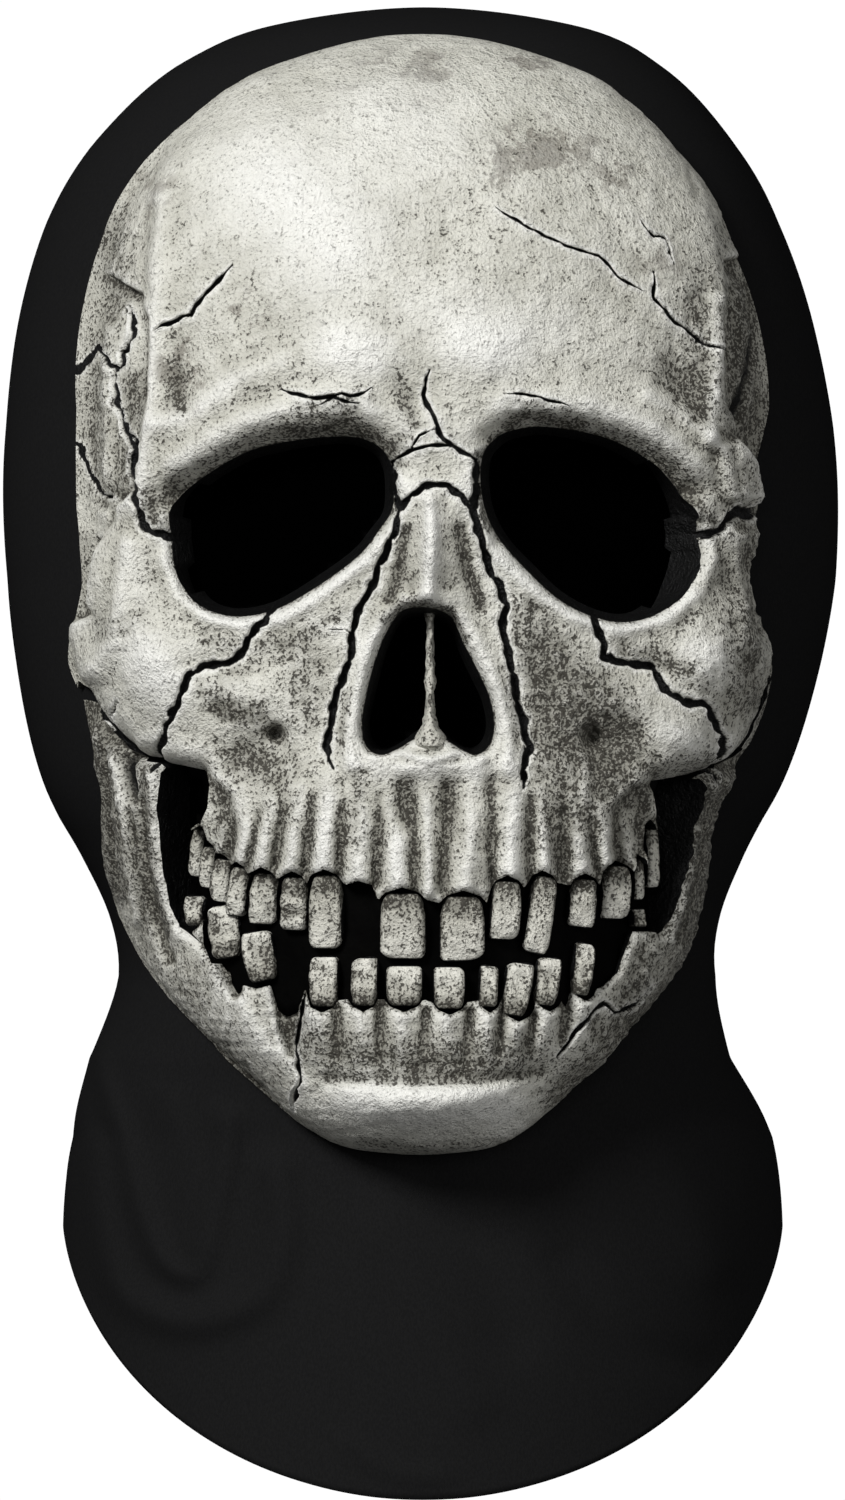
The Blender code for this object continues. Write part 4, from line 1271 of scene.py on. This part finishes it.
def bone_object(name, flat, faces):
    """The sheet brought to its form, with walls down to the cloth along its edges."""
    turn, height = FLAT.turn_height(flat)
    base_x, base_y = bone_base(turn, height)
    floor = cloth_rise(turn, height)
    lowest = floor + BONE_RISE * LEAST_SHARE
    sides = np.vstack([faces[:, [0, 1]], faces[:, [1, 2]], faces[:, [2, 0]]])
    edges, uses = np.unique(np.sort(sides, 1), axis=0, return_counts=True)
    places = seen_places(flat, turn, height, lowest, edges)
    forms = bone_forms(places)
    depth, near = crack_depth(places)
    dirt_and_shade = painted_grime_and_shade(places)
    rough = 0.35 * wobble(base_x, base_y, height, 22, 3) + 0.16 * wobble(base_x, base_y, height, 7, 4)
    rough += (0.05 + 0.3 * dirt_and_shade) * wobble(base_x, base_y, height, 3.4, 5)
    rough -= CRACK_DEPTH * depth + 0.25 * (depth - near)
    over = (BONE_RISE + forms + rough - lowest) / SOFT_FLOOR
    rise = lowest + SOFT_FLOOR * np.logaddexp(0, np.clip(over, -40, 200))
    points = bone_point(turn, height, rise)

    faces, normals = facing_front(points, faces)
    # Painted shade darkens the surface's hollows, and painted highlights with wear make its crests paler.
    fine = hollow_share(points, normals, edges, 6, 0.35)
    broad = hollow_share(points, normals, edges, 60, 1.6)
    grime_and_shade = np.clip(0.5 * np.maximum(fine, 0) + 0.7 * np.maximum(broad, 0) + dirt_and_shade, 0, 1)
    crest_wear_and_highlight = 0.25 * np.maximum(-fine, 0) + 0.55 * np.maximum(-broad, 0)
    # The pale crack lips are painted highlights, and the rubbed strokes are wear and painted highlights.
    worn = np.clip(crest_wear_and_highlight + 0.6 * (near - depth) + brushed(places, RUBBED_AND_HIGHLIT), 0, 1)

    loose = {tuple(e) for e in edges[uses == 1]}
    rim_sides = [s for s in sides if tuple(sorted(s)) in loose]
    rim = np.unique(np.array(rim_sides))
    outer = np.abs(turn[rim]) > math.pi / 2 - 0.02
    rows = wall_rows(turn[rim], height[rim], rise[rim], floor[rim], outer, pull_to_holes(places[rim]))
    quads = wall_faces(rim, rim_sides, len(points))
    mesh = bpy.data.meshes.new(name)
    mesh.from_pydata(np.vstack([points, *rows]) * MM, [], [tuple(int(i) for i in f) for f in faces] + quads)
    extra = len(WALL_ROWS) * len(rim)
    # The walls get painted shade: dark grime, black at the holes and partly black at the outer rim, as are
    # the gaps between the bones.
    write_values(mesh, {
        "crack": np.concatenate([depth, np.zeros(extra)]),
        "grime_and_shade": np.concatenate([grime_and_shade, np.full(extra, 0.8)]),
        "worn": np.concatenate([worn, np.zeros(extra)]),
        "stain": np.concatenate([stained(places), np.zeros(extra)]),
        "deep": np.concatenate([black_gap_shade(places), *[np.where(outer, 0.4, 1.0)] * len(WALL_ROWS)]),
    })
    mesh.shade_smooth()
    mesh.update()
    return placed(name, mesh)


def arch_point(across, out):
    """The dental arch at this rise, seen this far across: how far back it is, and its angle."""
    turn = turn_seen_at(across, ARCH_HEIGHT + 0 * across, out)
    x, y, _ = np.moveaxis(bone_point(turn, ARCH_HEIGHT + 0 * turn, out), -1, 0)
    ahead_x, ahead_y, _ = np.moveaxis(bone_point(turn + 0.01, ARCH_HEIGHT + 0 * turn, out), -1, 0)
    return y, np.arctan2(ahead_y - y, ahead_x - x)


def crown_points(wide, deep, tall, upper):
    """A rounded crown about its own middle in rings from the top down, and then its two poles."""
    neck = 0.86 if wide > 5 else 0.92
    points = []
    for t in np.linspace(0.0, 1.0, TOOTH_ROWS + 1)[1:-1]:
        down = 0.5 - 0.5 * math.cos(math.pi * t)
        fullness = (1 - abs(2 * down - 1) ** 6) ** (1 / 4)
        share = down if upper else 1 - down
        width = wide / 2 * (neck + (1 - neck) * smoothstep(0.0, 0.6, share)) * fullness
        depth = deep / 2 * (1 - 0.35 * share**2) * fullness
        for u in np.linspace(0, 2 * math.pi, TOOTH_COLUMNS, endpoint=False):
            c, s = math.cos(u), math.sin(u)
            across = width * math.copysign(abs(c) ** 0.5, c)
            back = depth * math.copysign(abs(s) ** 0.62, s)
            points.append((across, back, tall * (0.5 - down)))
    return np.array(points + [(0, 0, tall / 2), (0, 0, -tall / 2)])


def crown_faces():
    """Quads between a crown's rings, and triangles to its poles."""
    faces = []
    last = (TOOTH_ROWS - 2) * TOOTH_COLUMNS
    pole = last + TOOTH_COLUMNS
    for ring in range(0, last, TOOTH_COLUMNS):
        for column in range(TOOTH_COLUMNS):
            a, b = ring + column, ring + (column + 1) % TOOTH_COLUMNS
            faces.append((a, a + TOOTH_COLUMNS, b + TOOTH_COLUMNS, b))
    for column in range(TOOTH_COLUMNS):
        after = (column + 1) % TOOTH_COLUMNS
        faces.append((column, after, pole))
        faces.append((last + after, last + column, pole + 1))
    return faces


def wear_crown(points, tooth, upper, wide, tall, seed):
    """Makes a crown's points slanted, lumpy and chipped. Tells how near each is to the bite, and how
    much it swells and is chipped."""
    rng = np.random.default_rng(seed)
    bite = np.where(upper, 0.5 - points[:, 2] / tall, 0.5 + points[:, 2] / tall)
    slant = rng.uniform(-0.10, 0.10) * (1 + 2 * tooth.worn)
    points[:, 2] += np.where(upper, 1, -1) * slant * points[:, 0] * smoothstep(0.6, 1.0, bite)
    lumps = 0.10 + 0.22 * tooth.worn
    swell = wobble(points[:, 0] + 9 * seed, points[:, 1], points[:, 2], 3.4, seed)
    ripple = wobble(points[:, 0], points[:, 1] + 7 * seed, points[:, 2] * 0.3, 1.2, seed + 90)
    points[:, 1] += lumps * swell + 0.1 * ripple
    sway = wobble(points[:, 2], points[:, 1] + 5 * seed, points[:, 0], 4.0, seed + 50)
    points[:, 0] += 0.5 * lumps * sway
    chip_x = rng.uniform(-0.5, 0.5) * wide
    chip_z = tall * (0.5 - rng.uniform(0.55, 1.0))
    chip_z = chip_z if upper else -chip_z
    chip = np.exp(-((points[:, 0] - chip_x) ** 2 + (points[:, 2] - chip_z) ** 2) / (1.2 + tooth.worn) ** 2)
    points[:, 1] += 1.1 * tooth.worn * chip * (points[:, 1] < 0)
    return bite, swell, chip


def tooth_object(name, tooth, upper, seed):
    """A tooth with a rounded crown, a slim neck, a worn edge and small chips."""
    left, top = to_mm((tooth.left, tooth.top))
    right, bottom = to_mm((tooth.right, tooth.bottom))
    tall = top - bottom
    y, angle = arch_point(np.array((left + right) / 2), TOOTH_REACH)
    angle = TOOTH_TURN * float(angle)
    deep = TOOTH_DEPTH * (1 - 0.3 * abs(math.sin(angle)))
    x = (left + right) / 2 - deep / 2 * math.sin(angle)
    y = float(y) + deep / 2 * math.cos(angle)
    wide = TOOTH_SPREAD * (right - left) / math.cos(angle)
    points = crown_points(wide, deep, tall, upper)
    bite, swell, chip = wear_crown(points, tooth, upper, wide, tall, seed)

    side = wide / 2 - np.abs(points[:, 0])
    end = tall / 2 - np.abs(points[:, 2])
    # Painted shade: a black edge round the tooth where it turns into the gaps, written as its crack value.
    outline = 1 - smoothstep(0.1, 0.45, np.minimum(side, end))
    # Grime and painted shade: darker at the neck under the gum and towards the sides, with dirt in chips
    # and worn lumps.
    grime_and_shade = 0.55 * (1 - smoothstep(0.05, 0.4, bite)) + 0.45 * (1 - smoothstep(0.2, 1.2, side))
    grime_and_shade = grime_and_shade + 0.6 * chip * tooth.worn
    grime_and_shade = np.clip(0.34 + grime_and_shade + 0.5 * tooth.worn * np.clip(swell, 0, 1), 0, 1)
    turned = Matrix.Translation((x * MM, y * MM, (top + bottom) / 2 * MM))
    turned = turned @ Matrix.Rotation(angle, 4, "Z") @ Matrix.Rotation(math.radians(tooth.lean), 4, "Y")
    mesh = bpy.data.meshes.new(name)
    mesh.from_pydata(points * MM, [], crown_faces())
    mesh.transform(turned)
    write_values(mesh, {"grime_and_shade": grime_and_shade, "worn": np.clip(bite - 0.3, 0, 0.7), "crack": outline})
    mesh.shade_smooth()
    return placed(name, mesh)


def grid_object(name, points, wall):
    """A sheet from an array of points, rows by columns, with a wall of this thickness inwards."""
    numbers = np.arange(points.shape[0] * points.shape[1]).reshape(points.shape[:2])
    corners = (numbers[:-1, :-1], numbers[1:, :-1], numbers[1:, 1:], numbers[:-1, 1:])
    quads = np.stack(corners, -1).reshape(-1, 4)
    mesh = bpy.data.meshes.new(name)
    mesh.from_pydata(points.reshape(-1, 3) * MM, [], quads.tolist())
    grid = bmesh.new()
    grid.from_mesh(mesh)
    bmesh.ops.remove_doubles(grid, verts=grid.verts, dist=0.01 * MM)
    bmesh.ops.recalc_face_normals(grid, faces=grid.faces)
    grid.to_mesh(mesh)
    grid.free()
    mesh.shade_smooth()
    made = placed(name, mesh)
    modifier = made.modifiers.new("Wall", "SOLIDIFY")
    modifier.thickness = wall * MM
    modifier.offset = -1
    return made


def hood_heights(turns):
    """The heights of the hood's rows at each angle: level ones down to the bib, then down to its hem."""
    profile = HOOD[HOOD[:, 0] >= BIB_TOP][::-1]
    lengths = np.concatenate([[0], np.cumsum(np.hypot(*np.diff(profile[:, :2], axis=0).T))])
    heights = np.interp(np.linspace(0, lengths[-1], HOOD_HEAD_ROWS + 1), lengths, profile[:, 0])
    round_cos = np.sqrt(np.cos(turns) ** 2 + HEM_ROUNDING**2) - HEM_ROUNDING
    share = round_cos / (math.hypot(1, HEM_ROUNDING) - HEM_ROUNDING)
    hem = HEM_SIDE - share * np.where(np.cos(turns) > 0, HEM_FRONT_DROP, HEM_BACK_DROP)
    down = np.linspace(0, 1, HOOD_BIB_ROWS + 1)[1:, None]
    return np.vstack([np.repeat(heights[:, None], len(turns), 1), BIB_TOP + down * (hem - BIB_TOP)])


def bib_folds(x, y, z):
    """The rise of the bib's folds, in front only, in millimetres."""
    places = to_steps(x, z).reshape(-1, 2)
    fold = np.zeros(len(places))
    for ridge in CLOTH_FOLDS:
        distance = line_distance(places, smooth_line(ridge.path, False))
        fold += ridge.rise * np.exp(-((distance / ridge.half_width) ** 2))
    return fold.reshape(z.shape) * smoothstep(0, 25, -y)


def loose_nape(x, y, z):
    """The soft unevenness of the cloth below the back of the head, in millimetres."""
    free = smoothstep(-150, -260, z)
    soft = 0.9 * free * wobble(x, y, z * 0.6, 55, 8) * smoothstep(-20, 40, y)
    soft += 0.45 * free * wobble(x, y, z * 0.8, 24, 9) * smoothstep(-20, 40, y)
    return soft


def shade_behind_gaps(mesh):
    """How much painted shade each vertex of the cloth gets behind the sockets, the nose and the mouth."""
    spots = np.empty(len(mesh.vertices) * 3, np.float32)
    mesh.vertices.foreach_get("co", spots)
    spots = spots.reshape(-1, 3) / MM
    places = to_steps(spots[:, 0], spots[:, 2])
    shade_behind_holes = np.zeros(len(spots))
    for hole in (*HOLES, MOUTH):
        shade_behind_holes = np.maximum(shade_behind_holes, smoothstep(-5, 3, signed_distance(places, np.array(hole))))
    return shade_behind_holes * (spots[:, 1] < 0)


def hood_object():
    """The cloth hood with its folds, as one wall."""
    turns = np.linspace(-math.pi, math.pi, HOOD_COLUMNS + 1)
    z = hood_heights(turns)
    half_width, front, back = at_height(HOOD, z)
    depth = np.where(np.cos(turns) > 0, front, back)
    x, y = half_width * np.sin(turns), -depth * np.cos(turns)
    fold = bib_folds(x, y, z)
    grow = 1 + (y > 0) * (fold + loose_nape(x, y, z)) / np.maximum(np.hypot(x, y), 20)
    lean = np.interp(z, *np.array(CLOTH_LEAN).T)
    points = np.stack([x * grow + lean, y * grow - fold * (y <= 0), z], -1)
    made = grid_object("hood_cloth", points, CLOTH_WALL)
    # Painted shade on the cloth behind the holes.
    write_values(made.data, {"shade_behind_holes": shade_behind_gaps(made.data)})
    return made


def band_object():
    """The black arch behind the teeth."""
    line = np.linspace(-BAND_REACH, BAND_REACH, BAND_COLUMNS)
    steps = to_steps(line, line * 0)[:, 0]
    upper = np.interp(steps, *np.array(UPPER_GUM).T) - BAND_OVERLAP
    lower = np.interp(steps, *np.array(LOWER_GUM).T) + BAND_OVERLAP
    share = np.linspace(0, 1, BAND_ROWS)[:, None]
    height = (TOP_PX - (upper + (lower - upper) * share)) * PX
    x = np.broadcast_to(line, height.shape)
    y, _ = arch_point(x, BAND_FRONT)
    uneven = 0.2 * wobble(x, y, height, 6, 5)
    return grid_object("gum_band_black", np.stack([x, y + uneven, height], -1), BAND_WALL)


def septum_object():
    """The thin plate in the nose opening, which widens to a rough foot."""
    downs, widths, fronts = np.array(SEPTUM_ROWS, float).T
    down = np.linspace(downs[0], downs[-1], SEPTUM_RINGS)
    width = np.interp(down, downs, widths)
    front = np.interp(down, downs, fronts)
    rings = []
    for place, wide, reach in zip(down, width, front):
        middle, half = (reach + SEPTUM_BACK) / 2, (SEPTUM_BACK - reach) / 2
        ring = []
        for u in np.linspace(0, 2 * math.pi, SEPTUM_COLUMNS, endpoint=False):
            ring.append((SEPTUM_MIDDLE + wide / 2 * math.cos(u), place, middle - half * math.sin(u)))
        rings.append(ring)
    rings = np.array(rings)
    seen = to_mm(rings[..., :2])
    points = np.stack([seen[..., 0], rings[..., 2], seen[..., 1]], -1)
    uneven = 0.22 * wobble(points[..., 0], points[..., 1], points[..., 2], 2.6, 6)
    points += uneven[..., None] * np.array([1, 0.6, 0])
    numbers = np.arange(SEPTUM_RINGS * SEPTUM_COLUMNS).reshape(-1, SEPTUM_COLUMNS)
    after = np.roll(numbers, -1, 1)
    quads = np.stack([numbers[:-1], after[:-1], after[1:], numbers[1:]], -1).reshape(-1, 4)
    ends = [numbers[0][::-1].tolist(), numbers[-1].tolist()]
    mesh = bpy.data.meshes.new("nasal_septum_bone")
    mesh.from_pydata(points.reshape(-1, 3) * MM, [], quads.tolist() + ends)
    write_values(mesh, {"grime_and_shade": np.full(numbers.size, 0.45), "worn": np.full(numbers.size, 0.3)})
    mesh.shade_smooth()
    return placed("nasal_septum_bone", mesh)


class Nodes:
    """A short way to write a material's nodes."""

    def __init__(self, name):
        self.material = bpy.data.materials.new(name)
        self.material.use_nodes = True
        self.tree = self.material.node_tree
        self.shader = self.tree.nodes["Principled BSDF"]

    def link(self, value, socket):
        """Joins another node's output to this socket, or gives the socket a plain value."""
        if isinstance(value, bpy.types.NodeSocket):
            self.tree.links.new(value, socket)
        else:
            socket.default_value = value

    def attribute(self, name):
        node = self.tree.nodes.new("ShaderNodeAttribute")
        node.attribute_name = name
        return node.outputs["Fac"]

    def place(self, stretch):
        """Places on the object, turned a little and stretched."""
        coordinates = self.tree.nodes.new("ShaderNodeTexCoord")
        mapping = self.tree.nodes.new("ShaderNodeMapping")
        mapping.inputs["Scale"].default_value = stretch
        mapping.inputs["Rotation"].default_value = (0.5, 0.35, 0.6)
        self.tree.links.new(coordinates.outputs["Object"], mapping.inputs["Vector"])
        return mapping.outputs["Vector"]

    def noise(self, scale, detail, roughness, stretch=(1, 1, 1)):
        node = self.tree.nodes.new("ShaderNodeTexNoise")
        self.link(self.place(stretch), node.inputs["Vector"])
        node.inputs["Scale"].default_value = scale
        node.inputs["Detail"].default_value = detail
        node.inputs["Roughness"].default_value = roughness
        return node.outputs["Fac"]

    def ramp(self, value, low, high):
        """A soft change from 0 to 1 between two values."""
        node = self.tree.nodes.new("ShaderNodeMapRange")
        node.interpolation_type = "SMOOTHSTEP"
        self.link(value, node.inputs["Value"])
        node.inputs["From Min"].default_value = low
        node.inputs["From Max"].default_value = high
        return node.outputs["Result"]

    def math(self, operation, a, b):
        """Arithmetic, whose sums and differences stay between 0 and 1."""
        node = self.tree.nodes.new("ShaderNodeMath")
        node.operation = operation
        node.use_clamp = operation in ("ADD", "SUBTRACT")
        self.link(a, node.inputs[0])
        self.link(b, node.inputs[1])
        return node.outputs["Value"]

    def sum(self, a, b):
        """A sum that may pass 1."""
        node = self.tree.nodes.new("ShaderNodeMath")
        self.link(a, node.inputs[0])
        self.link(b, node.inputs[1])
        return node.outputs["Value"]

    def mix(self, share, a, b):
        node = self.tree.nodes.new("ShaderNodeMix")
        node.data_type = "RGBA"
        self.link(share, node.inputs["Factor"])
        self.link(a, node.inputs["A"])
        self.link(b, node.inputs["B"])
        return node.outputs["Result"]

    def bump(self, height, strength, distance, before=None):
        node = self.tree.nodes.new("ShaderNodeBump")
        node.inputs["Strength"].default_value = strength
        node.inputs["Distance"].default_value = distance
        self.link(height, node.inputs["Height"])
        if before is not None:
            self.link(before, node.inputs["Normal"])
        return node.outputs["Normal"]


def blend(a, b, share):
    """A colour between two colours."""
    return tuple((1 - share) * p + share * q for p, q in zip(a[:3], b[:3])) + (1,)


def bone_material(name, base, pale, cracked):
    """Mottled bone with grime and painted shade in its hollows, worn crests with painted highlights, and
    black cracks. Stains and the black painted shade of the gaps are only on the cracked bone."""
    n = Nodes(name)
    grime_and_shade = n.attribute("grime_and_shade")
    worn = n.attribute("worn")
    patches = n.ramp(n.noise(42, 6, 0.65), 0.36, 0.64)
    grain = n.noise(1450, 2, 0.5)
    clumps = n.noise(420, 5, 0.7)
    streaks = n.noise(800, 4, 0.7, (1.0, 1.0, 0.22))
    relief = n.math("ADD", n.math("MULTIPLY", grain, 0.5), n.math("MULTIPLY", clumps, 0.22))
    relief = n.math("ADD", relief, n.math("MULTIPLY", streaks, 0.28))
    mottle = n.ramp(relief, 0.38, 0.62)
    colour = n.mix(n.math("MULTIPLY", patches, 0.5), base, DIRT_AND_SHADE_MIDDLE)
    colour = n.mix(n.math("MULTIPLY", n.ramp(mottle, 0.45, 1.0), 0.4), colour, DIRT_AND_SHADE_MIDDLE)
    if cracked:
        stain = n.attribute("stain")
        blotches = n.ramp(n.math("ADD", n.noise(95, 9, 0.75), n.math("MULTIPLY", stain, 0.17)), 0.60, 0.65)
        blotches = n.math("MULTIPLY", blotches, n.ramp(stain, 0.1, 0.6))
        colour = n.mix(n.math("MULTIPLY", blotches, 0.7), colour, STAIN_COLOUR)
    colour = n.mix(n.math("MULTIPLY", worn, 0.85), colour, pale)
    # Dirt and painted shade darken the colour, less where it is worn or painted as a highlight, and dark
    # specks gather where they are strong.
    dirt_and_shade = n.math("SUBTRACT", grime_and_shade, n.math("MULTIPLY", worn, 0.35))
    dirt_and_shade_colour = blend(DIRT_AND_SHADE_MIDDLE, DIRT_AND_SHADE_DARK, 0.62)
    colour = n.mix(n.math("MULTIPLY", n.ramp(dirt_and_shade, 0.0, 1.0), 0.8), colour, dirt_and_shade_colour)
    specks = n.ramp(n.sum(mottle, n.math("MULTIPLY", dirt_and_shade, 0.62)), 0.84, 1.14)
    colour = n.mix(n.math("MULTIPLY", specks, 0.9), colour, DIRT_AND_SHADE_DARK)
    colour = n.mix(n.ramp(n.attribute("crack"), 0.35, 0.6), colour, GAP_BLACK)
    # Painted shade: the gaps between the bones and the walls of the holes are black.
    if cracked:
        colour = n.mix(n.attribute("deep"), colour, GAP_BLACK)
    n.link(colour, n.shader.inputs["Base Color"])
    n.shader.inputs["Specular IOR Level"].default_value = 0.25
    n.shader.inputs["Roughness"].default_value = 0.5
    normal = n.bump(n.noise(75, 5, 0.6), 0.6, 0.003)
    normal = n.bump(clumps, 0.6, 0.0018, normal)
    normal = n.bump(relief, 0.9, 0.0012, normal)
    n.link(normal, n.shader.inputs["Normal"])
    return n.material


def cloth_material():
    n = Nodes("black_stretch_cloth")
    thread = n.noise(2400, 2, 0.5, (1.0, 1.0, 0.5))
    colour = n.mix(n.ramp(thread, 0.3, 0.7), (0.0092, 0.0092, 0.0094, 1), (0.0116, 0.0116, 0.0118, 1))
    # Painted shade: the cloth is made blacker behind the sockets, the nose and the mouth.
    colour = n.mix(n.attribute("shade_behind_holes"), colour, (0.0002, 0.0002, 0.0002, 1))
    n.link(colour, n.shader.inputs["Base Color"])
    n.shader.inputs["Roughness"].default_value = 0.6
    n.shader.inputs["Specular IOR Level"].default_value = 0.0
    n.link(n.bump(thread, 0.15, 0.0002), n.shader.inputs["Normal"])
    return n.material


def gum_material():
    n = Nodes("black_gum")
    uneven = n.noise(300, 4, 0.6)
    colour = n.mix(uneven, (0.0003, 0.0003, 0.0003, 1), (0.0016, 0.0015, 0.0013, 1))
    n.link(colour, n.shader.inputs["Base Color"])
    n.shader.inputs["Roughness"].default_value = 0.6
    n.shader.inputs["Specular IOR Level"].default_value = 0.02
    n.link(n.bump(uneven, 0.3, 0.0006), n.shader.inputs["Normal"])
    return n.material


def floor_material():
    n = Nodes("pale_floor")
    n.shader.inputs["Base Color"].default_value = (0.86, 0.86, 0.86, 1)
    n.shader.inputs["Roughness"].default_value = 0.8
    return n.material


def backdrop_material():
    n = Nodes("white_backdrop")
    n.shader.inputs["Base Color"].default_value = (0, 0, 0, 1)
    n.shader.inputs["Specular IOR Level"].default_value = 0.0
    n.shader.inputs["Emission Color"].default_value = (1, 1, 1, 1)
    n.shader.inputs["Emission Strength"].default_value = 1.05
    return n.material


def add_camera():
    """A long lens straight in front, which covers the photograph's frame."""
    data = bpy.data.cameras.new("camera")
    data.lens = LENS
    data.sensor_width = SENSOR
    data.clip_end = CAMERA_FAR
    camera = placed("camera", data)
    distance = LENS * FRAME_TALL * PX * MM / data.sensor_width
    x, height = to_mm((FRAME_WIDE / 2, FRAME_TALL / 2)) * MM
    camera.location = (x, -distance - FRAME_DEPTH, height)
    camera.rotation_euler = (math.pi / 2, 0, 0)
    bpy.context.scene.camera = camera


def add_light(lamp):
    """A round area light that is turned to the mask."""
    data = bpy.data.lights.new(lamp.name, "AREA")
    data.shape = "DISK"
    data.size = lamp.size
    data.energy = lamp.power
    light = placed(lamp.name, data)
    light.location = lamp.place
    light.rotation_euler = (Vector(AIM) - Vector(lamp.place)).to_track_quat("-Z", "Y").to_euler()


def stage_piece(name, form, height, material):
    """A part of the studio that the mask doesn't mirror and that gives no light to it."""
    mesh = bpy.data.meshes.new(name)
    form.to_mesh(mesh)
    form.free()
    mesh.materials.append(material)
    made = placed(name, mesh)
    made.location = (0, 0, height)
    made.visible_diffuse = False
    made.visible_glossy = False
    return made


def add_studio():
    """A floor, a backdrop all round, three lights and a faint even light."""
    disc = bmesh.new()
    bmesh.ops.create_circle(disc, cap_ends=True, segments=96, radius=FLOOR_RADIUS)
    ground = stage_piece("floor", disc, FLOOR_HEIGHT, floor_material())
    wall = bmesh.new()
    radii = {"radius1": BACKDROP_RADIUS, "radius2": BACKDROP_RADIUS}
    bmesh.ops.create_cone(wall, segments=96, depth=BACKDROP_TALL, **radii)
    backdrop = stage_piece("backdrop", wall, BACKDROP_MIDDLE, backdrop_material())
    for lamp in LAMPS:
        add_light(lamp)
    world = bpy.data.worlds.new("studio")
    world.use_nodes = True
    background = world.node_tree.nodes["Background"]
    background.inputs["Color"].default_value = (1, 1, 1, 1)
    background.inputs["Strength"].default_value = WORLD_STRENGTH
    bpy.context.scene.world = world
    bpy.context.scene.view_settings.view_transform = "Standard"


def finished(made, material, node):
    """The piece stands for its solid and rides with it."""
    made.data.materials.clear()
    made.data.materials.append(material)
    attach(made, "root")
    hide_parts(node)
    return made


def main():
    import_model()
    add_camera()
    add_studio()
    bone = bone_material("aged_bone_with_painted_shade", BONE_COLOUR, BONE_PALE, True)
    tooth = bone_material("tooth", TOOTH_COLOUR, TOOTH_PALE, False)

    hood = finished(hood_object(), cloth_material(), "hood")
    above = [line for line in CRACK_LINES if min(line[1][:, 1]) < CRACK_SEAM]
    below = [line for line in CRACK_LINES if max(line[1][:, 1]) > CRACK_SEAM]
    face = bone_mesh("skull_face_bone", FACE_EDGE, True, HOLES, above)
    jaw = bone_mesh("lower_jaw_bone", JAW_EDGE, False, [], below)
    for made, node in ((face, "skull_face"), (jaw, "lower_jaw")):
        finished(made, bone, node)
    finished(septum_object(), tooth, "nasal_septum")
    finished(band_object(), gum_material(), "gum_band")
    for prefix, teeth, upper in (("upper_tooth", UPPER_TEETH, True), ("lower_tooth", LOWER_TEETH, False)):
        for number, row in enumerate(teeth, 1):
            name = f"{prefix}_{number:02d}"
            made = tooth_object(f"{name}_crown", row, upper, number + (0 if upper else 20))
            finished(made, tooth, name)


main()
